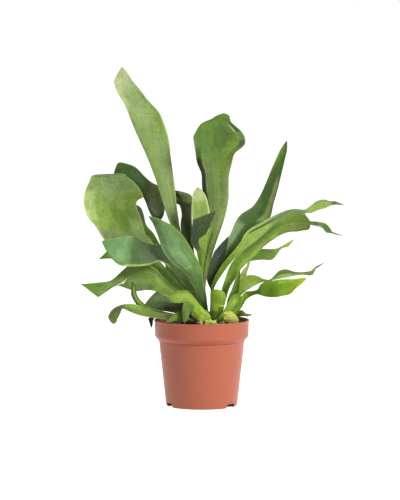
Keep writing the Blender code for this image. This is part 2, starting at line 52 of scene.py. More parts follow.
import bmesh
import bpy
import numpy as np
from mathutils import Vector, noise

MM = 0.001

# Rails: see station_row and place. The tables are the CAD model's.
EYE_DISTANCE = 3000.0
EYE_HEIGHT = 430.0
SHARPEST_END = 0.06

# A station is (left x, left z, right x, right z, depth y, twist), from the crown out.
# Twist is how much further back the right rail lies. A tip is (x, z, y), and blunt
# shapes the end: 1 is a straight point, 2 a half ellipse, more is squarer. Cup is how
# far the middle lies behind the rails, as a share of the half width. The lobes of a
# fork go on from the left half and the right half of the last station.
FRONDS = {
    "tall_frond": dict(
        stations=[(1, 122, 5, 122, 14, 0), (-11, 155, -7, 157, 20, 0),
                  (-24, 190, -17, 193, 30, 2), (-36, 222, -27, 224, 40, 6),
                  (-45, 245, -31, 248, 46, 9), (-58, 287, -35.5, 290, 57, 14),
                  (-69, 316, -39, 316, 64, 17), (-80, 341, -42.5, 342, 71, 18),
                  (-88, 360, -48, 360, 77, 18), (-93.5, 375, -55, 375, 81, 17),
                  (-101, 390, -69.5, 390, 85, 14), (-108, 401, -80, 404.5, 88, 11),
                  (-111.3, 412, -87.5, 413, 90, 8)],
        tip=(-101, 431, 93), blunt=1.15, cup=0.25),
    "round_frond": dict(
        stations=[(-5, 122, -2, 124, 4, 0), (-36, 150, -30, 156, 8, 0),
                  (-70, 172, -53, 184, 14, -4), (-106, 196, -62, 205, 20, -10),
                  (-125, 213, -70.5, 217, 23, -14), (-135, 229, -75, 231, 26, -18),
                  (-144.5, 240, -78.5, 243, 29, -22), (-148.5, 252, -83, 254.5, 31, -24),
                  (-149.7, 260, -82, 262, 32, -24), (-149.6, 265, -74, 265.5, 32, -24),
                  (-147, 276, -77, 275, 33, -24), (-143.5, 284, -85, 285.5, 34, -22),
                  (-140.5, 291, -96, 292.5, 35, -18)],
        tip=(-118, 295.5, 36), blunt=4.0, cup=0.2),
    "narrow_frond": dict(
        stations=[(-9, 123, -7, 125, 11, 0), (-34, 178, -30, 181, 17, 0),
                  (-66, 203, -53, 206, 27, 0), (-78, 218, -61.5, 220.5, 35, 0),
                  (-83, 232, -70.5, 231, 42, 0), (-84, 243, -73.5, 243, 46, 0),
                  (-84.5, 251, -75.5, 250, 48, 0)],
        tip=(-82, 256, 49), blunt=1.5, cup=0.1),
    "reaching_frond": dict(
        stations=[(-3, 124, 0, 127, -7, 0), (-16, 144, -9, 149, -11, 0),
                  (-27, 160, -18, 168, -16, 0), (-42, 177, -30, 190, -22, 0),
                  (-54, 183.5, -48, 205, -32, 6), (-68, 179, -68, 206.5, -44, 10),
                  (-92, 177.5, -89, 217, -62, 14),
                  (-108, 181, -108, 214.5, -76, 14),
                  (-118, 192, -117, 212.5, -85, 9)],
        tip=(-127, 209.5, -93), blunt=1.2, cup=0.2),
    "front_frond": dict(
        stations=[(2, 124, 7, 126, -12, 0), (-4, 139, 6, 141, -15, 0),
                  (-11, 152, 3, 154, -20, 0), (-21, 168.5, -1, 176, -27, -2),
                  (-38, 182, -13, 200, -38, -8), (-50, 199, -27, 221, -50, -12),
                  (-57, 220, -40, 231.5, -60, -10), (-63, 234, -55, 238.8, -67, -5)],
        tip=(-67.8, 242, -70), blunt=1.1, cup=-0.15),
    "back_fork_frond": dict(
        stations=[(-2, 124, 2, 124, 22, 0), (-8, 160, -1, 160, 32, 0),
                  (-17, 190, -8, 190, 46, 0), (-25, 215, -12, 213, 60, 2),
                  (-27, 232, -12.5, 230, 68, 3), (-25.5, 245, -13, 243, 74, 4),
                  (-28, 256, -13, 255, 78, 5)],
        cup=0.15,
        lobes=[dict(stations=[(-38, 259, -33, 276, 84, 6), (-46, 257, -43, 279.5, 88, 10),
                              (-48.5, 241, -50, 281, 92, 14), (-57, 234, -57, 282, 96, 16),
                              (-66, 246, -65, 286, 100, 14), (-72, 262, -72, 292, 104, 12),
                              (-88, 283, -85, 305, 112, 8),
                              (-107, 291, -101, 310.3, 120, 5)],
                    tip=(-110, 301, 124), blunt=3.5),
               dict(stations=[(-34, 266, -12.5, 262, 84, 4), (-38, 273, -12.5, 266.5, 88, 4)],
                    tip=(-25.5, 273, 90), blunt=3.0)]),
    "folded_frond": dict(
        stations=[(-2, 124, 2, 124, 1, 0), (-3, 150, 1, 150, 1, 0),
                  (-3, 176, 2, 176, 1, 0), (-7, 198, 6, 198, 1, 0)],
        cup=0.1,
        lobes=[dict(stations=[(-13.5, 208, -4, 211.5, -5, -2), (-13, 219, 5.5, 220, -10, -4),
                              (-12, 230, 11.5, 231, -13, -6),
                              (-11.5, 237, 15, 240, -16, -6)],
                    tip=(17.5, 248.5, -18), blunt=1.05),
               dict(stations=[(-8, 212, 7, 212, 6, 4), (-12, 240, 10.5, 244, 14, 8),
                              (-12.5, 262, 7, 263, 18, 6)],
                    tip=(-5, 278.5, 22), blunt=1.5)]),
    "paddle_frond": dict(
        stations=[(4, 124, 8, 124, 7, 0), (0, 152, 5, 152, 10, 0), (-2, 177, 9, 175, 14, 0),
                  (1, 201, 15.5, 199, 18, 0), (8, 226, 24, 224, 23, 2),
                  (7, 242, 30, 243, 28, 6), (4, 256, 32.7, 255, 31, 8),
                  (1.5, 268, 34.3, 268, 33, 10), (0, 281, 34, 281, 34, 12),
                  (-0.7, 297, 34.7, 295, 36, 14), (-6, 309, 38, 308, 37, 14),
                  (-8, 323, 42, 322, 38, 14), (-9.3, 332, 50, 328, 38, 13),
                  (-11, 343, 56, 335, 38, 12), (-8.5, 347.5, 54.5, 344, 38, 12),
                  (-4.5, 355, 48, 352, 38, 10), (1, 360.6, 38, 360.5, 39, 8),
                  (13, 365.4, 35.5, 366, 39.5, 6)],
        tip=(28, 372.3, 40), blunt=1.6, cup=0.15),
    "spear_frond": dict(
        stations=[(10.5, 124, 13.5, 125, 17, 0), (12.5, 156, 16.5, 156, 24, 0),
                  (18.5, 177, 25, 175, 31, 0), (27, 203, 39, 195, 39, -2),
                  (36, 218.5, 51, 209, 48, -6), (43.5, 236, 66, 224, 59, -12),
                  (51, 245, 79, 233, 68, -14), (64, 253.5, 87.5, 241, 78, -14),
                  (73, 266, 91, 256, 87, -12), (81, 283, 97.5, 280, 95, -8),
                  (90, 305, 104, 307, 104, -5), (99, 325, 108, 324, 111, -3)],
        tip=(108, 338, 116), blunt=1.2, cup=0.25),
    "shaded_frond": dict(
        stations=[(11, 126, 13, 127, 11, 0), (11.5, 147, 14.5, 149, 15, 0),
                  (6.5, 160, 16, 158, 19, 0), (8.5, 177, 22, 174, 24, 0),
                  (15.5, 196, 29, 190, 29, 0)],
        tip=(34, 216, 36), blunt=1.2, cup=0.2),
    "fork_frond": dict(
        stations=[(11, 122, 14, 121, 2, 0), (12, 152, 16, 150, 4, 0),
                  (20, 171, 27, 169, 7, 0), (34, 190, 41, 187, 10, 0),
                  (48, 207, 55, 199, 14, 2), (57, 222, 69, 209, 18, 4),
                  (76, 234, 88, 215, 24, 6), (97, 245, 105, 229, 32, 6),
                  (117, 251.2, 121, 240, 42, 4), (131, 250, 131.5, 241.5, 50, 2)],
        cup=0.15,
        lobes=[dict(stations=[(137, 254, 139.5, 246, 54, 0), (146, 260.8, 147.5, 249.5, 58, 0),
                              (156, 263, 157.5, 252, 63, 0), (163, 261, 164, 255.3, 67, 0),
                              (169, 261.3, 171, 256.5, 69, 0)],
                    tip=(181, 256, 72), blunt=1.1),
               dict(stations=[(137, 236.3, 138, 231.5, 51, 0), (147, 235, 148.5, 229, 50, 0),
                              (157, 232.7, 154.5, 225.5, 50, 0),
                              (161.5, 229, 157.5, 221.5, 49, 0),
                              (166, 222, 165, 220, 48, 0)],
                    tip=(181.5, 216, 47), blunt=1.1)]),
    "spoon_frond": dict(
        stations=[(22, 122, 27, 120, -8, 0), (25, 147, 31, 143, -11, 0),
                  (30, 163, 40, 158, -15, 0), (37, 181, 50, 174, -20, 0),
                  (52, 198, 64, 188, -26, 4), (69, 211, 79, 203, -34, 6),
                  (86, 226, 91, 212, -43, 9), (102, 239, 104, 219.5, -51, 10),
                  (112, 245.5, 113, 222, -56, 9), (121, 247, 122, 222.3, -60, 8),
                  (129, 243.5, 131, 224, -65, 6)],
        tip=(138, 232.5, -70), blunt=2.2, cup=0.2),
    "short_right_frond": dict(
        stations=[(24, 126, 28, 124, 0, 0), (34, 160, 38, 156, -2, 0),
                  (47, 185, 52, 178, -2, 0), (63, 198, 63, 184.5, 0, 2),
                  (78, 200.3, 78, 186.3, 3, 4), (90, 200.3, 90, 186.5, 7, 4),
                  (96, 201, 96.5, 194, 10, 3), (101, 203.5, 101, 200, 12, 1),
                  (109, 208, 110, 202.8, 15, 1)],
        tip=(117.5, 212.5, 18), blunt=1.1, cup=0.2),
    "wavy_frond": dict(
        stations=[(34, 124, 37, 121, -2, 0), (42, 147, 48, 138, -2, 0),
                  (51, 164, 56, 146, -1, 2), (62, 167, 64, 151, 3, 3),
                  (70, 166, 71, 155, 7, 4), (79, 162, 78, 157.7, 12, 1),
                  (86, 161, 87, 159, 16, 0), (91, 164.5, 93, 160.5, 21, -3),
                  (97, 171.5, 99, 161.8, 26, -4), (106, 174.3, 108, 163.5, 32, -4),
                  (118, 171.2, 119, 165.8, 42, -1), (131, 171, 132, 166.5, 52, 0),
                  (139, 172.5, 141.5, 166.8, 57, 0), (145, 177.8, 145, 174.5, 61, 0)],
        tip=(157, 183, 68), blunt=1.1, cup=0.2),
    "bright_frond": dict(
        stations=[(40, 118, 44, 115, -16, 0), (47, 134, 52, 127, -19, 0),
                  (56, 145.5, 57.5, 136, -22, 0), (63, 146.3, 64, 140, -28, 0),
                  (71, 148.5, 71, 142, -35, 0), (75, 155, 78, 140, -42, 5),
                  (81, 158.5, 85, 138.6, -48, 8), (92, 159.8, 94, 138.4, -56, 10),
                  (103, 161.5, 104, 140.3, -63, 10), (112, 161.5, 113, 142.5, -70, 8),
                  (120, 161.7, 119.5, 149.5, -76, 5)],
        tip=(133.5, 162.5, -84), blunt=1.3, cup=0.2),
    "upright_young_frond": dict(
        stations=[(30, 120, 34, 118, -19, 0), (33, 136, 43, 132, -23, 4),
                  (39, 151, 47.5, 148, -26, 4), (43, 164, 49, 164, -27, 3)],
        tip=(48, 174, -28), blunt=1.5, cup=0.3),
    "pale_young_frond": dict(
        stations=[(38, 126, 41, 124, 4, 0), (46, 159, 54, 157.5, 4, 0),
                  (51, 172, 58, 170.5, 4, 0), (57, 179.5, 61, 178.5, 4, 0)],
        tip=(60.5, 186, 3), blunt=1.6, cup=0.3),
    "arch_frond": dict(
        stations=[(7, 107.5, 9, 119, -23, 4), (-4, 108.5, -1, 127, -29, 6),
                  (-13, 116, -9, 138, -34, 8)],
        cup=-0.3,
        lobes=[dict(stations=[(-13.5, 121, -22, 131.5, -44, 0),
                              (-15, 117, -25, 124, -50, 0),
                              (-18, 111, -24, 113, -54, 0)],
                    tip=(-22, 105.5, -56), blunt=1.5),
               dict(stations=[(-21, 131, -19, 147.5, -38, 8), (-32, 131, -31, 147, -41, 6)],
                    tip=(-42, 138, -43), blunt=1.6)]),
    "wide_left_frond": dict(
        stations=[(-7, 122, -4, 126, -14, 0), (-24, 133, -18, 140, -17, 0),
                  (-42, 138, -34, 150, -22, 2), (-57, 145, -46, 161, -28, 4),
                  (-69, 147.5, -62, 177, -36, 6), (-84, 146, -80, 181, -42, 8),
                  (-92, 148, -95, 178, -46, 8)],
        cup=0.2,
        lobes=[dict(stations=[(-99, 150.5, -100, 156, -50, 0)],
                    tip=(-107, 153.5, -53), blunt=1.0),
               dict(stations=[(-101, 156, -103, 170.5, -51, 5),
                              (-112, 151.5, -114, 161, -57, 4),
                              (-123, 144, -121, 158.5, -64, 4),
                              (-132, 138, -126, 158, -72, 8)],
                    tip=(-154, 155, -84), blunt=1.0)]),
    "tip_frond": dict(
        stations=[(-8, 122, -6, 126, -3, 0), (-38, 157, -35, 163, -5, 0),
                  (-76, 179, -74, 190, -12, 0), (-105, 186, -104, 197, -22, 0),
                  (-118, 188, -118, 200, -27, 0)],
        tip=(-131, 187, -32), blunt=1.0, cup=0.2),
    "hook_frond": dict(
        stations=[(-30, 112, -28, 116, -26, 0), (-57, 117, -55, 122, -33, 0),
                  (-72, 121, -68, 127, -42, 0), (-84, 130, -79, 136, -50, 0),
                  (-90, 141, -83, 144, -55, 0), (-90, 150, -84, 152, -57, 0)],
        tip=(-89, 159, -59), blunt=1.3, cup=0.2),
    "low_left_frond": dict(
        stations=[(-22, 111, -22, 116, -34, 0), (-44, 110, -43, 117, -40, 0),
                  (-62, 112, -62, 120, -45, 0), (-80, 115.3, -80, 128.3, -53, 4),
                  (-92, 119.7, -92, 130, -60, 4), (-101, 123.5, -103, 128.8, -66, 0),
                  (-103.5, 118, -114, 123, -70, 0), (-108, 109.5, -119.6, 114, -73, 0)],
        tip=(-113.5, 104.5, -75), blunt=1.8, cup=0.2),
    "rim_leaf": dict(
        stations=[(-18, 108, -18, 114, -40, 0), (-28, 108, -28, 120, -43, 4),
                  (-37, 107.5, -36, 117, -46, 4)],
        tip=(-46, 107, -48), blunt=1.3, cup=-0.2),
    "grey_frond": dict(
        stations=[(-20, 116, -19, 127, -9, 0), (-34, 118, -33, 138, -7, 6),
                  (-48, 120.5, -47, 145, -4, 8), (-60, 121, -58, 145.5, -1, 8)],
        tip=(-73, 128, 2), blunt=1.3, cup=0.25),
    "young_shield_frond": dict(
        stations=[(13, 108, 18.5, 107, -24, 0), (11.8, 122, 26.5, 119, -25, 0),
                  (11.5, 139, 31, 137, -25, 0)],
        tip=(20, 148, -24), blunt=3.2, cup=-0.3),
    "crown_frond": dict(
        stations=[(20, 110, 27, 108, -29, 0), (28, 122, 40, 117, -29, 0),
                  (36, 136, 50, 130, -28, 3)],
        tip=(47, 143, -27), blunt=2.0, cup=0.2),
    "papery_shield_frond": dict(
        stations=[(30, 105, 46, 104.5, -36, 6), (28, 112.5, 47.5, 108.5, -38, 8)],
        tip=(35, 121, -37), blunt=2.0, cup=-0.2),
    "right_rim_leaf": dict(
        stations=[(44, 119, 45, 113, -10, 0), (51, 122, 52, 114, -11, 0),
                  (57, 117.5, 58, 113.5, -11, 0)],
        tip=(64.5, 116, -11), blunt=1.5, cup=-0.2),
    "withered_leaf": dict(
        stations=[(-50, 111.5, -50, 114, -8, 0), (-60, 111.5, -61, 114.5, -8, 0),
                  (-62, 108, -68, 111.5, -8, 0), (-62.3, 104, -66.5, 105, -8, 0)],
        tip=(-64.3, 99, -8), blunt=1.2, cup=0.2),
    "rear_left_frond": dict(
        stations=[(-12, 123, -9, 125, 16, 0), (-36, 152, -31, 158, 34, 0),
                  (-70, 180, -58, 190, 58, 4), (-100, 207, -80, 216, 80, 8),
                  (-122, 232, -96, 240, 98, 10), (-126, 250, -104, 254, 106, 8)],
        tip=(-116, 268, 112), blunt=1.8, cup=0.2),
    "back_frond": dict(
        stations=[(-6, 122, -3, 122, 28, 0), (-18, 140, -11, 142, 44, 0),
                  (-42, 163, -17, 168, 74, 4), (-48, 190, -23, 197, 98, 6)],
        tip=(-38, 220, 118), blunt=1.6, cup=0.2),
    "low_back_frond": dict(
        stations=[(-16, 121, -14, 125, 20, 0), (-28, 127, -24, 138, 46, 0),
                  (-42, 134, -35, 152, 72, 4)],
        tip=(-54, 148, 94), blunt=1.8, cup=0.2),
    "rear_right_frond": dict(
        stations=[(14, 122, 17, 121, 22, 0), (12.5, 152, 15.5, 150, 30, 0),
                  (22, 171, 26, 169, 40, 0), (35, 189, 40, 186, 52, 0),
                  (50, 206, 56, 200, 66, 2), (66, 224, 79, 211, 82, 6),
                  (90, 236, 98, 220, 98, 8)],
        tip=(118, 241, 112), blunt=1.4, cup=0.2),
}

# Surface of a frond. Lengths in millimetres.
BLADE_ROWS = 54
LOBE_ROWS = 26
TIP_ROWS = 9
BLADE_COLUMNS = 16
FLANGE_COLUMNS = 3
FLANGE_PLACE = 1.02        # where a flange lies across the blade, for its colours
BODY_SHARE = 0.6           # where the lobes of a fork start, as a share of the frond
THICKEST = 1.7             # at the foot of a frond
THINNEST_SHARE = 0.22      # margin thickness, as a share of the thickest
MARGIN_THINNING = 0.75     # loss of thickness from the middle to the margin
FOOT_THINNING = 0.45       # loss of thickness away from the foot
FOOT_THINNING_RATE = 3     # it is lost over the first third of the frond
MARGIN_ROLL = (0.5, 30.0)  # width and turn of the margin that every frond has
FLANGE_WIDTH = 3.0         # half width below which the margin's roll is narrower
FLANGE_LEAST = 0.15        # and the share of its width that is always left
LEAST_TURN = 0.05          # the least turn of a margin, in radians
HUMP_POWER = 0.7           # below 1 a roll or fold is flatter in its middle
FOOT_DEPTH = 9.0           # how far a frond's foot reaches down into the crown
FOOT_DROP = 2.0
PUCKER = 0.45              # height of the sheet's uneven swelling
PUCKER_SIZE = 13.0
PUCKER_WIDTH = 8.0         # half width from which a frond is fully puckered
PUCKER_SHIFT = (7.3, 3.1, 5.7)
RUFFLE_WIDTH = 9.0         # half width from which a frond is fully ruffled
RUFFLE_START = 0.25        # share of the frond over which its ruffles grow
RUFFLE_POWER = 2.5         # keeps the ruffles near the margins
LEFT_PHASE = 1.7           # ruffles of the two margins differ, and so do the fronds'
RIGHT_PHASE = (2.9, 1.3)
LOBE_SEED = 0.37           # a lobe's and a back's share of chance differ from the blade's
BACK_SEED = 0.5

# Pot, soil and crown. Lengths in millimetres.
POT_HEIGHT = 110.0
RIM_RADIUS = 60.0
RIM_DEPTH = 21.5
RIM_CHAMFER = 5.0
SHOULDER_RADIUS = 54.8
FOOT_RADIUS = 45.0
POT_WALL = 1.3
POT_FLOOR = 1.6
PROFILE_ROUNDING = 0.5
POT_STEPS = 180
DRAIN_ANGLES = (54.6, 174.5, 294.4)   # degrees, from -Y towards +X
DRAIN_WIDTH = 17.0
DRAIN_HEIGHT = 5.0
DRAIN_REACH = 9.0
DRAIN_ROUNDING = 1.2
SOIL_TOP = 102.5
SOIL_CROWN = 0.8           # how far the loose soil lies above the root ball
SOIL_RADIUS = 57.9
SOIL_EDGE = 5.0            # width of the level edge against the pot
SOIL_RINGS = 44
SOIL_STEPS = 128
SOIL_CROWDING = 0.8        # below 1 the rings lie closer together towards the edge
SOIL_LUMP_SIZE = 9.0
SOIL_LUMPS = ((1.0, 1.5), (3.1, 0.9), (8.0, 0.5))   # how much finer, and height
SOIL_GAPS = (0.8, 2.4, 1.4)   # between the root ball and the rim band, shoulder and foot
CHIPS = 420
CHIP_FIELD = 56
CHIP_REACH = 55.5          # how far from the middle the chips lie
CHIP_LIFT = (-0.3, 0.5)    # how far a chip's middle lies above the soil
CHIP_SIZES = (0.7, 2.3)    # radii, before the chip is stretched in x, y and z
CHIP_STRETCH = ((0.7, 1.6), (0.5, 1.1), (0.35, 0.8))
CHIP_ROUGHNESS = (0.75, 1.2)
CHIP_DARKNESS = 1.6        # above 1 most chips are dark
CLUMP_CHIPS = 46           # a clump at the right of the rim: centre and spread, or range
CLUMP_X = (52.0, 2.6)
CLUMP_Y = (-13.0, 3.5)
CLUMP_Z = (103.5, 110.5)
CLUMP_SIZES = (1.0, 2.4)
CLUMP_REACH = 57.0
DOME_STEPS = 72
DOME_RINGS = 22
DOME_LUMPS = ((3.0, 0.10), (9.0, 0.05))   # how fine, and height as a share of the radius
SCALES = 520
SCALE_HEIGHTS = (0.05, 0.98)   # where scales grow, from the dome's edge to its top
SCALE_LENGTHS = (2.5, 5.5)
SCALE_WIDTHS = (0.35, 0.8)     # from the middle line to the edge
SCALE_LEAN = 0.45          # how far a scale stands up from the dome
SCALE_WAIST = 0.55         # where a scale starts to taper, and its width there
SCALE_TAPER = 0.7
SCALE_THICKNESS = 0.18
FLAKES = 34
FLAKE_X = (-6, 40)         # where the scraps grow
FLAKE_Y = (-46, -31)
FLAKE_Z = (104.5, 108.5)
FLAKE_BOW = 0.2            # how far back their row bends to the sides
FLAKE_TURN = (-0.9, 0.9)   # turn, lean and curl in radians
FLAKE_LEAN = (0.2, 1.3)
FLAKE_CURL = (0.4, 1.5)
FLAKE_LENGTHS = (5, 12)
FLAKE_WIDTHS = (2.5, 5.5)
FLAKE_CLEARANCE = 2        # to the pot's rim
SHORTEST_FLAKE = 3
FLAKE_ROWS = 8
FLAKE_COLUMNS = 5
FLAKE_THICKNESS = 0.3

# Colours are sRGB, 0 to 255, as the studio light shows them; SURFACE_SHARE turns them
# into the surface's own colour.
SURFACE_SHARE = (0.655, 0.675, 0.43)
DEEP = ((104, 128, 60), (86, 112, 54), (84, 112, 56), (92, 120, 60), (104, 128, 66))
PALE_UNDERSIDE = ((150, 166, 96), (138, 160, 100), (138, 162, 106), (142, 166, 110), (150, 170, 118))
GREEN_UPPERSIDE = ((110, 138, 66), (92, 126, 60), (96, 132, 70), (100, 136, 76), (108, 140, 80))
WITHERED = ((46, 34, 24), (40, 28, 20), (34, 24, 18), (28, 20, 16), (24, 18, 14))

